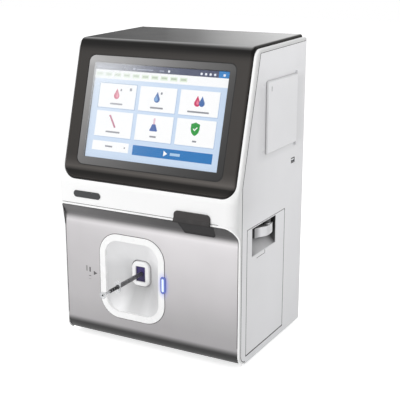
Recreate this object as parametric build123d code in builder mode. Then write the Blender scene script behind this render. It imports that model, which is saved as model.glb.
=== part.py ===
"""Bench-top blood gas analyzer: tilted touch screen, sampling port, side drawer and side printer.

Millimetres, +Z up, the front faces -Y. The row's origin is the middle of the overall footprint on the
surface that the feet stand on. Inside the script a place is given as x, a depth d forward of the back
panel and a height h above the underside of the case.
"""
from build123d import *
from math import cos, radians, sin, tan
import os

os.makedirs("parts", exist_ok=True)

# ---------------------------------------- driving dimensions of the case
WIDTH = 297.0  # over both side panels
BODY_HEIGHT = 450.0  # underside of the case to the rear edge of the roof
BAND_DEPTH = 222.0  # back panel to the front of the white band
PANEL_SINK = 7.8  # silver panel, behind the band's face
RIM_SINK = 0.4  # white rim beside the silver panel, behind its face
SCREEN_SINK = 4.0  # screen plane at the height SCREEN_H, behind the band's face
SCREEN_BELOW = 188.0  # SCREEN_H, under the roof
PANEL_BELOW = 56.6  # silver panel's top, under SCREEN_H
SCREEN_TILT = 16.0  # of the screen, back from upright, in degrees
FOOT_HEIGHT = 7.0
SYRINGE_REACH = 68.0  # thumb rest of the syringe, forward of the band
GUARD_REACH = 3.0  # fan guard, behind the back panel
ROOF_FALL = 0.0218  # slope of the roof down to the front
SIDE_WALL = 2.5  # side panels
SHEET = 2.0  # folded steel sheet inside
SEAM = 0.7  # shut lines between panels
GAP = 0.3  # clearance of pieces that move past each other
HAIR = 0.03  # radial play of pins and rods pushed into their holes

BACK = (BAND_DEPTH + SYRINGE_REACH - GUARD_REACH) / 2
HALF = WIDTH / 2
INNER = HALF - SIDE_WALL
TILT = radians(SCREEN_TILT)
PANEL_DEPTH = BAND_DEPTH - PANEL_SINK
RIM_DEPTH = PANEL_DEPTH - RIM_SINK
SCREEN_D = BAND_DEPTH - SCREEN_SINK
SCREEN_H = BODY_HEIGHT - SCREEN_BELOW
PANEL_TOP = SCREEN_H - PANEL_BELOW  # underside of the band


# ---------------------------------------- places and planes
def at(x, d, h):
    """Point x across, d forward of the back panel, h above the underside of the case."""
    return (x, BACK - d, FOOT_HEIGHT + h)


def side_plane(x=0.0):
    """Side view at x: local x is the depth d, local y the height h; extrusions go towards -X."""
    return Plane(origin=at(x, 0, 0), x_dir=(0, -1, 0), z_dir=(-1, 0, 0))


def front_plane(d):
    """Front view at depth d: local x is x, local y the height h; extrusions go forward."""
    return Plane(origin=at(0, d, 0), x_dir=(1, 0, 0), z_dir=(0, -1, 0))


def level_plane(h):
    """Plan view at height h: local x is x, local y is minus the depth d; extrusions go up."""
    return Plane(origin=at(0, 0, h), x_dir=(1, 0, 0), z_dir=(0, 0, 1))


def screen_plane(w=0.0):
    """Plane of the screen, moved out by w: local x is x, local y runs up the slope from SCREEN_H."""
    origin = at(0, SCREEN_D + w * cos(TILT), SCREEN_H + w * sin(TILT))
    return Plane(origin=origin, x_dir=(1, 0, 0), z_dir=(0, -cos(TILT), sin(TILT)))


def block(x, d, h, mode=Mode.ADD):
    """Rectangular block between two values of x, of depth and of height."""
    middle = at((x[0] + x[1]) / 2, (d[0] + d[1]) / 2, (h[0] + h[1]) / 2)
    with Locations(middle):
        Box(x[1] - x[0], abs(d[1] - d[0]), h[1] - h[0], mode=mode)


def rod_up(x, d, radius, h, mode=Mode.ADD):
    """Upright cylinder between two heights."""
    with Locations(at(x, d, (h[0] + h[1]) / 2)):
        Cylinder(radius, h[1] - h[0], mode=mode)


def rod_front(x, h, radius, d, mode=Mode.ADD):
    """Cylinder along Y between two depths."""
    with Locations(Location(at(x, (d[0] + d[1]) / 2, h), (90, 0, 0))):
        Cylinder(radius, abs(d[1] - d[0]), mode=mode)


def rod_across(d, h, radius, x, mode=Mode.ADD):
    """Cylinder along X between two values of x."""
    with Locations(Location(at((x[0] + x[1]) / 2, d, h), (0, 90, 0))):
        Cylinder(radius, x[1] - x[0], mode=mode)


def outline(width, height, radius, centre=(0.0, 0.0)):
    """Rounded rectangle in the sketch that is being drawn."""
    with Locations(centre):
        RectangleRounded(width, height, radius)


def meet(front_d, roof_h):
    """Corner where a line along the screen, through front_d at SCREEN_H, meets a line along the roof."""
    lean = tan(TILT)
    h = (roof_h - ROOF_FALL * (front_d + SCREEN_H * lean)) / (1 - ROOF_FALL * lean)
    return (front_d - (h - SCREEN_H) * lean, h)


def save(piece, name):
    """Label a finished piece and write its STEP file."""
    piece.label = name
    export_step(piece, f"parts/{name}.step")


# ---------------------------------------- seam between frame and side panels
STRIP = 8.4  # white frame seen beside the screen, front to back
SEAM_D = SCREEN_D - STRIP
SEAM_TOP = BODY_HEIGHT - 9.0
FRAME_SOLE = 18.0  # radius of the frame's lower front corner
sole_d = RIM_DEPTH - FRAME_SOLE
sole_h = RIM_DEPTH - SEAM_D  # height of the frame's foot under the side panel

# ---------------------------------------- drawer, printer and socket openings
DRAWER_BEHIND = 79.85  # drawer's middle, behind the seam
DRAWER_WIDE = 127.4
DRAWER_LOW = 10.6
DRAWER_BELOW = 6.2  # drawer opening's top, under the band
DRAWER_GAP = 0.7
PRINT_BEHIND = (173.4, 69.4)  # printer door's rear and front edges, behind the seam
PRINT_BELOW = (155.0, 52.3)  # its foot and its top, under the roof
PRINT_LAP = (4.8, 3.2, 15.3)  # how far the door laps its opening: rear, front, above and below
SIDE_USB_D = 40.0
SIDE_USB_BELOW = 27.5  # socket's middle, under the printer door
DRAWER_MID = SEAM_D - DRAWER_BEHIND  # depth of the drawer's middle
DRAWER_TOP = PANEL_TOP - DRAWER_BELOW
PRINT_D = (SEAM_D - PRINT_BEHIND[0], SEAM_D - PRINT_BEHIND[1])
PRINT_H = (BODY_HEIGHT - PRINT_BELOW[0], BODY_HEIGHT - PRINT_BELOW[1])
SIDE_USB_H = PRINT_H[0] - SIDE_USB_BELOW
USB_WIDE = 13.2
USB_TALL = 8.0
drawer_d = (DRAWER_MID - DRAWER_WIDE / 2, DRAWER_MID + DRAWER_WIDE / 2)
print_open_d = (PRINT_D[0] + PRINT_LAP[0], PRINT_D[1] - PRINT_LAP[1])
print_open_h = (PRINT_H[0] + PRINT_LAP[2], PRINT_H[1] - PRINT_LAP[2])
usb_d = (SIDE_USB_D - USB_WIDE / 2, SIDE_USB_D + USB_WIDE / 2)
usb_h = (SIDE_USB_H - USB_TALL / 2, SIDE_USB_H + USB_TALL / 2)


def side_panel_sheet(x):
    """Flat side panel, from x inwards by its wall, up to the seam with the white frame."""
    s = SEAM / 2
    with BuildSketch(side_plane(x)) as sheet:
        with BuildLine():
            Polyline(
                (0, 0), (sole_d - s, 0), (sole_d - s, sole_h + s), (SEAM_D - s, sole_h + s),
                (SEAM_D - s, SCREEN_H), meet(SEAM_D - s, SEAM_TOP - s), (0, SEAM_TOP - s), close=True,
            )
        make_face()
        corner = sheet.vertices().sort_by_distance(Vertex(SEAM_D - s, sole_h + s, 0))[0]
        fillet(corner, FRAME_SOLE - sole_h - 2 * s)
    extrude(sheet.sketch, amount=SIDE_WALL)


VENT_COUNT = 9
VENT_PITCH = 9.0
VENT_WIDE = 3.0
VENT_LONG = 46.0
VENT_D = 62.0
VENT_H = BODY_HEIGHT - 150.0
with BuildPart() as side_panel_left:
    side_panel_sheet(-INNER)
    with BuildSketch(side_plane(-INNER)):
        with Locations((VENT_D, VENT_H)):
            with GridLocations(VENT_PITCH, 1, VENT_COUNT, 1):
                SlotOverall(VENT_LONG, VENT_WIDE, rotation=90)
    extrude(amount=SIDE_WALL, mode=Mode.SUBTRACT)
save(side_panel_left.part, "side_panel_left")

with BuildPart() as side_panel_right:
    side_panel_sheet(HALF)
    block((INNER - 1, HALF + 1), drawer_d, (DRAWER_LOW, DRAWER_TOP), mode=Mode.SUBTRACT)
    block((INNER - 1, HALF + 1), print_open_d, print_open_h, mode=Mode.SUBTRACT)
    block((INNER - 1, HALF + 1), (usb_d[0] - GAP, usb_d[1] + GAP), (usb_h[0] - GAP, usb_h[1] + GAP),
          mode=Mode.SUBTRACT)
save(side_panel_right.part, "side_panel_right")

# ---------------------------------------- base tray and feet
FOOT_RADIUS = 11.0
FOOT_SPIGOT = 4.0
FOOT_INSET_X = 38.0
FOOT_INSET_Y = 40.0
TRAY_FRONT = PANEL_DEPTH - 24.2
TRAY_LIP = 8.0
foot_spots = [(sx * (HALF - FOOT_INSET_X), d) for sx in (-1, 1) for d in (FOOT_INSET_Y, TRAY_FRONT - 22.0)]

with BuildPart() as base_tray:
    block((-INNER, INNER), (SHEET, TRAY_FRONT), (0, TRAY_LIP))
    block((-INNER + SHEET, INNER - SHEET), (2 * SHEET, TRAY_FRONT - SHEET), (SHEET, TRAY_LIP),
          mode=Mode.SUBTRACT)
    for fx, fd in foot_spots:
        rod_up(fx, fd, FOOT_SPIGOT + HAIR, (-1, SHEET + 1), mode=Mode.SUBTRACT)
save(base_tray.part, "base_tray")

with BuildPart() as feet:
    for fx, fd in foot_spots:
        with Locations(at(fx, fd, -FOOT_HEIGHT / 2)):
            Cone(FOOT_RADIUS - 1.5, FOOT_RADIUS, FOOT_HEIGHT)
        rod_up(fx, fd, FOOT_SPIGOT, (0, SHEET))
save(feet.part, "feet")

# ---------------------------------------- dark cover round the screen and over the roof
COVER_INSET = 7.0  # the cover's sides, in from the side panels
COVER_DROP = 14.0  # cover below SCREEN_H, along the slope
COVER_WALL = 4.0
COVER_BODY = 10.0  # depth of the cover's edge
COVER_CORNER = 20.0
COVER_EDGE = 4.0
ROOF_BEND = 10.0
cover_half = HALF - COVER_INSET
cover_foot = (SCREEN_D + COVER_DROP * sin(TILT), SCREEN_H - COVER_DROP * cos(TILT))


def cover_points(skin, lift=0.0):
    """Side view of the cover at a depth under its skin: foot, bend and rear end."""
    foot = (
        cover_foot[0] - skin * cos(TILT) - lift * sin(TILT),
        cover_foot[1] - skin * sin(TILT) + lift * cos(TILT),
    )
    return foot, meet(SCREEN_D - skin / cos(TILT), BODY_HEIGHT - skin)


def bent_sheet(skin, depth, half_width, rear, lift=0.0, bend=ROOF_BEND, mode=Mode.ADD):
    """Sheet that runs up the screen and back along the roof, from skin to depth under the surface."""
    foot_out, bend_out = cover_points(skin, lift)
    foot_in, bend_in = cover_points(depth, lift)
    with BuildSketch(side_plane(half_width)) as bent:
        with BuildLine():
            Polyline(foot_out, bend_out, (rear, BODY_HEIGHT - skin), (rear, BODY_HEIGHT - depth), bend_in,
                     foot_in, close=True)
        make_face()
        fillet(bent.vertices().sort_by_distance(Vertex(*bend_out))[0], bend)
    extrude(bent.sketch, amount=2 * half_width, mode=mode)


GLASS_WIDE = 241.0
GLASS_TALL = 161.0
GLASS_CORNER = 11.0
GLASS_THICK = 1.9
GLASS_V = 87.4  # middle of the glass, up the slope
GLASS_GAP = 0.5
GLASS_SINK = 0.2
LCD_WIDE = 229.2
LCD_TALL = 149.0
LCD_THICK = 5.0
VIEW_WIDE = 220.0
VIEW_TALL = 139.0

with BuildPart() as top_cover:
    bent_sheet(0, COVER_BODY, cover_half, 0)
    skew = Axis((0, 0, 0), (0, -cos(TILT), sin(TILT)))
    fillet(top_cover.edges().filter_by(skew).group_by(Axis.Z)[0], COVER_CORNER)
    rim_edges = (
        top_cover.faces().sort_by(skew)[-1].edges()
        + top_cover.faces().sort_by(Axis.Z)[-1].edges().filter_by(Axis.X, reverse=True)
    )
    side_edges = [edge for edge in rim_edges if abs(edge.center().X) > cover_half - COVER_CORNER]
    foot_edges = [edge for edge in rim_edges if edge.center().Z < at(0, 0, SCREEN_H)[2]]
    fillet(set(side_edges + foot_edges), COVER_EDGE)
    bent_sheet(COVER_WALL, COVER_BODY + 1, cover_half - COVER_WALL, -1, lift=COVER_WALL,
               bend=ROOF_BEND - COVER_WALL, mode=Mode.SUBTRACT)
    with BuildSketch(screen_plane(-GLASS_THICK - GLASS_SINK)):
        outline(GLASS_WIDE + 2 * GLASS_GAP, GLASS_TALL + 2 * GLASS_GAP, GLASS_CORNER, (0, GLASS_V))
    extrude(amount=10, mode=Mode.SUBTRACT)
    with BuildSketch(screen_plane(-COVER_WALL - 1)):
        outline(VIEW_WIDE, VIEW_TALL, 3, (0, GLASS_V))
    extrude(amount=10, mode=Mode.SUBTRACT)
save(top_cover.part, "top_cover")

with BuildPart() as touch_glass:
    with BuildSketch(screen_plane(-GLASS_THICK - GLASS_SINK)):
        outline(GLASS_WIDE, GLASS_TALL, GLASS_CORNER - GLASS_GAP, (0, GLASS_V))
    extrude(amount=GLASS_THICK)
save(touch_glass.part, "touch_glass")

with BuildPart() as display_panel:
    with BuildSketch(screen_plane(-COVER_WALL - LCD_THICK)):
        outline(LCD_WIDE, LCD_TALL, 1, (0, GLASS_V))
    extrude(amount=LCD_THICK)
save(display_panel.part, "display_panel")

BRACKET_SHEET = 1.5
BRACKET_LAP = (16.4, 4.5)  # bracket past the display, sideways and up
BRACKET_WIDE = LCD_WIDE + 2 * BRACKET_LAP[0]
BRACKET_TALL = LCD_TALL + 2 * BRACKET_LAP[1]
bracket_back = -COVER_WALL - LCD_THICK - BRACKET_SHEET
with BuildPart() as display_bracket:
    with BuildSketch(screen_plane(bracket_back)):
        outline(BRACKET_WIDE, BRACKET_TALL, 6, (0, GLASS_V))
        with Locations((0, GLASS_V)):
            RectangleRounded(LCD_WIDE - 40, LCD_TALL - 50, 8, mode=Mode.SUBTRACT)
    extrude(amount=BRACKET_SHEET)
    with BuildSketch(screen_plane(bracket_back + BRACKET_SHEET)):
        with Locations((0, GLASS_V)):
            with GridLocations(BRACKET_WIDE - 14, BRACKET_TALL - 16, 2, 2):
                Circle(4)
    extrude(amount=LCD_THICK)
save(display_bracket.part, "display_bracket")

# ---------------------------------------- white front frame with the band
FRAME_SINK = 2.0  # frame's face beside the screen, below the cover's face
ROOF_SINK = 4.0  # frame's ledge along the roof, below the roof
FRAME_BROW = 15.0  # radius of its upper front corner
FRAME_EDGE = 3.2  # radius of its outer edges
BAND_EASE = 14.0  # radius of the curves above and below the band
BAND_WALL = 3.2
RIM_WIDE = 1.4  # white rim beside the silver panel
PANEL_CORNER = 22.0  # upper right corner of the silver panel
PANEL_NOTCH = 4.0  # its upper left corner
COVE_TALL = 15.0  # height of the slope that runs forward to the band
COVE_EASE = 9.0  # radius at the slope's foot
panel_half = HALF - RIM_WIDE
cove_low = PANEL_TOP - COVE_TALL
frame_front = SCREEN_D - FRAME_SINK / cos(TILT)
frame_knee = SCREEN_H - (BAND_DEPTH - frame_front) / tan(TILT)
frame_brow = meet(frame_front, BODY_HEIGHT - ROOF_SINK)
band_low = PANEL_TOP + 4.0
band_high = cover_foot[1] - COVER_BODY * sin(TILT) - SEAM
seam_low = (SEAM_D + SEAM / 2, SCREEN_H)
seam_high = meet(seam_low[0], SEAM_TOP + SEAM / 2)


def opening(shrink):
    """Front view of the silver panel's opening, open at the bottom, drawn in by an even margin."""
    half = panel_half - shrink
    top = PANEL_TOP - shrink
    with BuildSketch(front_plane(TRAY_FRONT - 1)) as view:
        with BuildLine():
            Polyline((-half, -50), (half, -50), (half, top), (-half, top), close=True)
        make_face()
        fillet(view.vertices().group_by(Axis.Y)[-1].sort_by(Axis.X)[-1], PANEL_CORNER - shrink)
        fillet(view.vertices().sort_by_distance(Vertex(-half, top, 0))[0], PANEL_NOTCH - shrink)
    return view.sketch


with BuildPart() as front_frame:
    with BuildSketch(side_plane(HALF)) as hoop:
        sole_in = (seam_low[0], sole_h - SEAM / 2)
        with BuildLine():
            Polyline(
                (sole_d + SEAM / 2, 0), (RIM_DEPTH, 0), (RIM_DEPTH, cove_low), (BAND_DEPTH, band_low),
                (BAND_DEPTH, frame_knee), frame_brow, (0, BODY_HEIGHT - ROOF_SINK),
                (0, SEAM_TOP + SEAM / 2), seam_high, seam_low, sole_in, (sole_d + SEAM / 2, sole_in[1]),
                close=True,
            )
        make_face()
        for corner, radius in (
            ((RIM_DEPTH, 0), FRAME_SOLE - SEAM), (sole_in, FRAME_SOLE - sole_h),
            ((RIM_DEPTH, cove_low), COVE_EASE), ((BAND_DEPTH, band_low), BAND_EASE),
            ((BAND_DEPTH, frame_knee), BAND_EASE), (frame_brow, FRAME_BROW),
        ):
            fillet(hoop.vertices().sort_by_distance(Vertex(*corner, 0))[0], radius)
    extrude(amount=WIDTH)
    for side in (-1, 1):
        flank = front_frame.faces().filter_by(Axis.X).sort_by(Axis.X)[-1 if side > 0 else 0]
        ledge_z = at(0, 0, SEAM_TOP + ROOF_SINK - 0.5)[2]
        front_edges = [
            edge for edge in flank.edges()
            if BACK - edge.center().Y > SEAM_D + SEAM or edge.center().Z > ledge_z
        ]
        fillet(front_edges, FRAME_EDGE)
    # opening round the silver panel
    extrude(opening(0.0), amount=60, mode=Mode.SUBTRACT)
    # opening round the dark cover, up the screen and back along the roof
    with BuildSketch(screen_plane(-60)):
        with Locations((0, BODY_HEIGHT / 2 - COVER_DROP - SEAM)):
            RectangleRounded(2 * cover_half + 2 * SEAM, BODY_HEIGHT, COVER_CORNER)
    extrude(amount=90, mode=Mode.SUBTRACT)
    block((-cover_half - SEAM, cover_half + SEAM), (-1, SEAM_D - 30), (SEAM_TOP - 30, BODY_HEIGHT + 1),
          mode=Mode.SUBTRACT)
    # hollow behind the band
    block((-HALF + BAND_WALL, HALF - BAND_WALL), (SEAM_D - 5, BAND_DEPTH - BAND_WALL),
          (band_low, band_high - BAND_WALL - 3.0), mode=Mode.SUBTRACT)
save(front_frame.part, "front_frame")

# ---------------------------------------- sampling port: shared sizes
PORT_X = -28.5
PORT_H = PANEL_TOP - 101.9
RING_WIDE = 111.5
RING_TALL = 131.0
RING_CORNER = 33.0
RING_BAND = 10.0
RING_FRONT = PANEL_DEPTH + 1.2
RING_LAP = 4.0  # flange of the ring behind the silver panel
LIGHT_WIDE = 8.0
LIGHT_TALL = 26.0
light_x = PORT_X + RING_WIDE / 2 - 2.0
PANEL_SHEET = 2.0
PANEL_ROLL = 20.0  # radius of the panel's rolled bottom
panel_back = PANEL_DEPTH - PANEL_SHEET

# ---------------------------------------- code reader: shared sizes
READER_INSIDE = (96.5, 38.5)  # dark window in the panel's slope, inside the right flank
READER_SKEW = 9.0  # how far its left side leans in at the foot
READER_FOOT = PANEL_TOP - 16.8
READER_CORNER = 3.0
READER_X = (HALF - READER_INSIDE[0], HALF - READER_INSIDE[1])
reader_back = panel_back - 0.8


def port_outline(grow=0.0, inset=0.0):
    """Rounded outline of the port ring, grown outwards or inset inwards."""
    outline(RING_WIDE + 2 * (grow - inset), RING_TALL + 2 * (grow - inset), RING_CORNER + grow - inset,
            (PORT_X, PORT_H))


def light_slot(grow=0.0):
    """Upright capsule of the port light."""
    with Locations((light_x, PORT_H)):
        SlotOverall(LIGHT_TALL + 2 * grow, LIGHT_WIDE + 2 * grow, rotation=90)


def reader_outline(grow):
    """Front view of the reader's window, leaning in at the left and grown outwards."""
    with BuildSketch(front_plane(TRAY_FRONT + 2)) as view:
        with BuildLine():
            Polyline(
                (READER_X[0] - grow, PANEL_TOP), (READER_X[0] + READER_SKEW - grow, READER_FOOT - grow),
                (READER_X[1] + grow, READER_FOOT - grow), (READER_X[1] + grow, PANEL_TOP), close=True,
            )
        make_face()
        fillet(view.vertices().group_by(Axis.Y)[0], READER_CORNER)
    return view.sketch


panel_high = PANEL_TOP - SEAM
cove_lean = (BAND_DEPTH - RIM_DEPTH) / (band_low - cove_low)


def panel_profile(skin):
    """Side view of the silver panel at a depth under its face: rolled foot, slope at the top, open rear."""
    face_d = PANEL_DEPTH - skin
    with BuildSketch(side_plane(panel_half)) as view:
        with BuildLine():
            Polyline(
                (TRAY_FRONT - skin, skin), (face_d, skin), (face_d, cove_low),
                (face_d + cove_lean * (panel_high - cove_low), panel_high - skin),
                (TRAY_FRONT - skin, panel_high - skin), close=True,
            )
        make_face()
        fillet(view.vertices().sort_by_distance(Vertex(face_d, skin, 0))[0], PANEL_ROLL - skin)
        fillet(view.vertices().sort_by_distance(Vertex(face_d, cove_low, 0))[0], COVE_EASE)
    return view.sketch


with BuildPart() as front_panel:
    extrude(panel_profile(0.0), amount=2 * panel_half)
    extrude(panel_profile(PANEL_SHEET), amount=2 * panel_half, mode=Mode.SUBTRACT)
    extrude(opening(SEAM), amount=60, mode=Mode.INTERSECT)
    for side in (-1, 1):
        margin = sorted((side * (INNER - GAP), side * HALF))
        block(margin, (TRAY_FRONT - 1, SEAM_D + SEAM / 2), (-1, PANEL_TOP), mode=Mode.SUBTRACT)
    with BuildSketch(front_plane(panel_back - 1)):
        port_outline(GAP)
    extrude(amount=10, mode=Mode.SUBTRACT)
    with BuildSketch(front_plane(panel_back - 1)):
        light_slot(GAP)
    extrude(amount=10, mode=Mode.SUBTRACT)
    extrude(reader_outline(GAP), amount=40, mode=Mode.SUBTRACT)
save(front_panel.part, "front_panel")

# ---------------------------------------- badge plate and code reader
BADGE_INSIDE = 49.9
BADGE_X = BADGE_INSIDE - HALF
BADGE_H = PANEL_TOP + 19.2
BADGE_WIDE = 47.0
BADGE_TALL = 10.0
BADGE_THICK = 0.8
with BuildPart() as badge_plate:
    with BuildSketch(front_plane(BAND_DEPTH)):
        with Locations((BADGE_X, BADGE_H)):
            SlotOverall(BADGE_WIDE, BADGE_TALL)
    extrude(amount=BADGE_THICK)
save(badge_plate.part, "badge_plate")

HOOD_INSIDE = (99.7, 42.3)
HOOD_X = (HALF - HOOD_INSIDE[0], HALF - HOOD_INSIDE[1])
HOOD_TOP = PANEL_TOP + 16.6
HOOD_THICK = 2.4
HOOD_LIP = 4.4  # how far the lip stands forward of the band
HOOD_LIP_TALL = 1.4
HOOD_LIP_RISE = 6.0
HOOD_CORNER = 6.0
hood_low = PANEL_TOP + 0.4
with BuildPart() as reader_hood:
    with BuildSketch(front_plane(BAND_DEPTH)) as face:
        with Locations(((HOOD_X[0] + HOOD_X[1]) / 2, (hood_low + HOOD_TOP) / 2)):
            Rectangle(HOOD_X[1] - HOOD_X[0], HOOD_TOP - hood_low)
        fillet(face.vertices().group_by(Axis.Y)[-1], HOOD_CORNER)
    extrude(amount=HOOD_THICK)
    fillet(reader_hood.faces().sort_by(Axis.Y)[0].edges().group_by(Axis.Z)[-1], 1.0)
    with BuildSketch(side_plane(HOOD_X[1])) as lip:
        with BuildLine():
            Polyline(
                (BAND_DEPTH, hood_low), (BAND_DEPTH + HOOD_LIP, hood_low),
                (BAND_DEPTH + HOOD_LIP, hood_low + HOOD_LIP_TALL),
                (BAND_DEPTH + HOOD_THICK, hood_low + HOOD_LIP_RISE), (BAND_DEPTH, hood_low + HOOD_LIP_RISE),
                close=True,
            )
        make_face()
    extrude(amount=HOOD_X[1] - HOOD_X[0])
save(reader_hood.part, "reader_hood")

with BuildPart() as reader_window:
    extrude(panel_profile(0.0), amount=2 * panel_half)
    extrude(panel_profile(PANEL_SHEET), amount=2 * panel_half, mode=Mode.SUBTRACT)
    extrude(reader_outline(0.0), amount=40, mode=Mode.INTERSECT)
    block((READER_X[0] - 1, READER_X[1] + 1), (TRAY_FRONT, panel_back + 2),
          (panel_high - PANEL_SHEET, PANEL_TOP), mode=Mode.SUBTRACT)
save(reader_window.part, "reader_window")

SHELF_H = PANEL_TOP + 1.6
READER_DEEP = 26.0
READER_INSET = 12.0
reader_top = panel_high - PANEL_SHEET - GAP
with BuildPart() as code_reader:
    block((READER_X[0] + READER_INSET, READER_X[1] - READER_INSET), (reader_back - READER_DEEP, reader_back),
          (READER_FOOT + 1, reader_top))
    fillet(code_reader.edges().filter_by(Axis.Y), 1.5)
    block((READER_X[0] + READER_INSET + 6, READER_X[1] - READER_INSET - 6),
          (reader_back - READER_DEEP, TRAY_FRONT - GAP), (reader_top - 1, SHELF_H))
save(code_reader.part, "code_reader")

# ---------------------------------------- sampling port
RING_STEP = 2.4  # lap of the funnel's flange behind the ring
FUNNEL_FLANGE = RING_FRONT - 4.4
FUNNEL_END = PANEL_DEPTH - 27.2
FUNNEL_WIDE = 34.0
FUNNEL_TALL = 41.6
FUNNEL_CORNER = 11.5
FUNNEL_WALL = 2.0
with BuildPart() as port_ring:
    with BuildSketch(front_plane(panel_back - 3)):
        port_outline(RING_LAP)
    extrude(amount=3)
    with BuildSketch(front_plane(panel_back - 3)):
        port_outline()
    extrude(amount=RING_FRONT - panel_back + 3)
    fillet(port_ring.faces().sort_by(Axis.Y)[0].edges(), 1.0)
    with BuildSketch(front_plane(panel_back - 4)):
        port_outline(inset=RING_BAND)
    extrude(amount=20, mode=Mode.SUBTRACT)
    with BuildSketch(front_plane(panel_back - 4)):
        port_outline(inset=RING_BAND - RING_STEP)
    extrude(amount=FUNNEL_FLANGE - panel_back + 4, mode=Mode.SUBTRACT)
    with BuildSketch(front_plane(panel_back - 4)):
        light_slot(GAP)
    extrude(amount=20, mode=Mode.SUBTRACT)
save(port_ring.part, "port_ring")


def funnel_cone(wall, mode=Mode.ADD):
    """Tapered body from the ring's opening back to the collar, grown by a wall."""
    with BuildSketch(front_plane(FUNNEL_END)) as small:
        outline(FUNNEL_WIDE + 2 * wall, FUNNEL_TALL + 2 * wall, FUNNEL_CORNER + wall, (PORT_X, PORT_H))
    with BuildSketch(front_plane(FUNNEL_FLANGE)) as large:
        port_outline(inset=RING_BAND - wall)
    loft([small.sketch.face(), large.sketch.face()], mode=mode)


with BuildPart() as port_funnel:
    funnel_cone(FUNNEL_WALL)
    funnel_cone(0, mode=Mode.SUBTRACT)
save(port_funnel.part, "port_funnel")

COLLAR_WIDE = 30.4
COLLAR_TALL = 38.0
COLLAR_CORNER = 10.0
COLLAR_FRONT = FUNNEL_END + 4.0
COLLAR_BACK = FUNNEL_END - 11.0
COLLAR_FLANGE_THICK = 2.5
WINDOW_WIDE = 16.5
WINDOW_TALL = 24.0
WINDOW_SINK = 2.5  # seal's face behind the collar's
with BuildPart() as port_collar:
    with BuildSketch(front_plane(COLLAR_BACK)):
        outline(COLLAR_WIDE, COLLAR_TALL, COLLAR_CORNER, (PORT_X, PORT_H))
    extrude(amount=COLLAR_FRONT - COLLAR_BACK)
    fillet(port_collar.faces().sort_by(Axis.Y)[0].edges(), 2.0)
    with BuildSketch(front_plane(FUNNEL_END - COLLAR_FLANGE_THICK)):
        grow = FUNNEL_WALL + 2.0
        outline(FUNNEL_WIDE + 2 * grow, FUNNEL_TALL + 2 * grow, FUNNEL_CORNER + grow, (PORT_X, PORT_H))
    extrude(amount=COLLAR_FLANGE_THICK)
    with BuildSketch(front_plane(COLLAR_BACK - 1)):
        outline(WINDOW_WIDE, WINDOW_TALL, 1.0, (PORT_X, PORT_H))
    extrude(amount=30, mode=Mode.SUBTRACT)
save(port_collar.part, "port_collar")

BARREL_RADIUS = 3.25
SEAL_LAP = 3.0
with BuildPart() as port_seal:
    with BuildSketch(front_plane(COLLAR_BACK - 3)):
        outline(WINDOW_WIDE + 2 * SEAL_LAP, WINDOW_TALL + 2 * SEAL_LAP, 3.0, (PORT_X, PORT_H))
    extrude(amount=3)
    with BuildSketch(front_plane(COLLAR_BACK)):
        outline(WINDOW_WIDE, WINDOW_TALL, 1.0, (PORT_X, PORT_H))
    extrude(amount=COLLAR_FRONT - WINDOW_SINK - COLLAR_BACK)
    rod_front(PORT_X, PORT_H, BARREL_RADIUS + 0.1, (COLLAR_BACK - 10, COLLAR_FRONT), mode=Mode.SUBTRACT)
save(port_seal.part, "port_seal")

with BuildPart() as port_light:
    with BuildSketch(front_plane(panel_back - 3)):
        light_slot()
    extrude(amount=RING_FRONT + 0.8 - panel_back + 3)
    fillet(port_light.faces().sort_by(Axis.Y)[0].edges(), 0.8)
save(port_light.part, "port_light")

# ---------------------------------------- sample syringe
BARREL_BORE = 2.7
BARREL_BACK = COLLAR_BACK - 8.0
BARREL_FRONT = BAND_DEPTH + 29.6
NOZZLE_LONG = 10.0
NOZZLE_RADIUS = 2.0
NOZZLE_BORE = 1.1
GRIP_TALL = 19.0
GRIP_WIDE = 11.0
GRIP_THICK = 1.6
with BuildPart() as syringe_barrel:
    rod_front(PORT_X, PORT_H, BARREL_RADIUS, (BARREL_BACK, BARREL_FRONT))
    rod_front(PORT_X, PORT_H, NOZZLE_RADIUS, (BARREL_BACK - NOZZLE_LONG, BARREL_BACK + 1))
    with BuildSketch(front_plane(BARREL_FRONT - GRIP_THICK)):
        outline(GRIP_WIDE, GRIP_TALL, 4.0, (PORT_X, PORT_H))
    extrude(amount=GRIP_THICK)
    rod_front(PORT_X, PORT_H, BARREL_BORE, (BARREL_BACK + 1.2, BARREL_FRONT + 1), mode=Mode.SUBTRACT)
    rod_front(PORT_X, PORT_H, NOZZLE_BORE, (BARREL_BACK - NOZZLE_LONG - 1, BARREL_BACK + 2),
              mode=Mode.SUBTRACT)
save(syringe_barrel.part, "syringe_barrel")

ROD_RADIUS = 1.8
RIB_RADIUS = 2.6
RIB_COUNT = 4
RIB_PITCH = 5.5
RIB_THICK = 2.4
THUMB_RADIUS = 5.2
THUMB_THICK = 2.0
SEAL_LONG = 8.0
SEAL_FRONT = BARREL_FRONT - 15.6
thumb_front = BAND_DEPTH + SYRINGE_REACH
with BuildPart() as plunger_rod:
    rod_front(PORT_X, PORT_H, ROD_RADIUS, (SEAL_FRONT - 4, thumb_front - 1))
    rod_front(PORT_X, PORT_H, THUMB_RADIUS, (thumb_front - THUMB_THICK, thumb_front))
    for rib in range(RIB_COUNT):
        rib_d = BARREL_FRONT + 2.0 + rib * RIB_PITCH
        rod_front(PORT_X, PORT_H, RIB_RADIUS, (rib_d, rib_d + RIB_THICK))
save(plunger_rod.part, "plunger_rod")

with BuildPart() as plunger_seal:
    rod_front(PORT_X, PORT_H, BARREL_BORE - 0.06, (SEAL_FRONT - SEAL_LONG, SEAL_FRONT))
    rod_front(PORT_X, PORT_H, ROD_RADIUS + HAIR, (SEAL_FRONT - 4, SEAL_FRONT + 1), mode=Mode.SUBTRACT)
save(plunger_seal.part, "plunger_seal")

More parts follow.
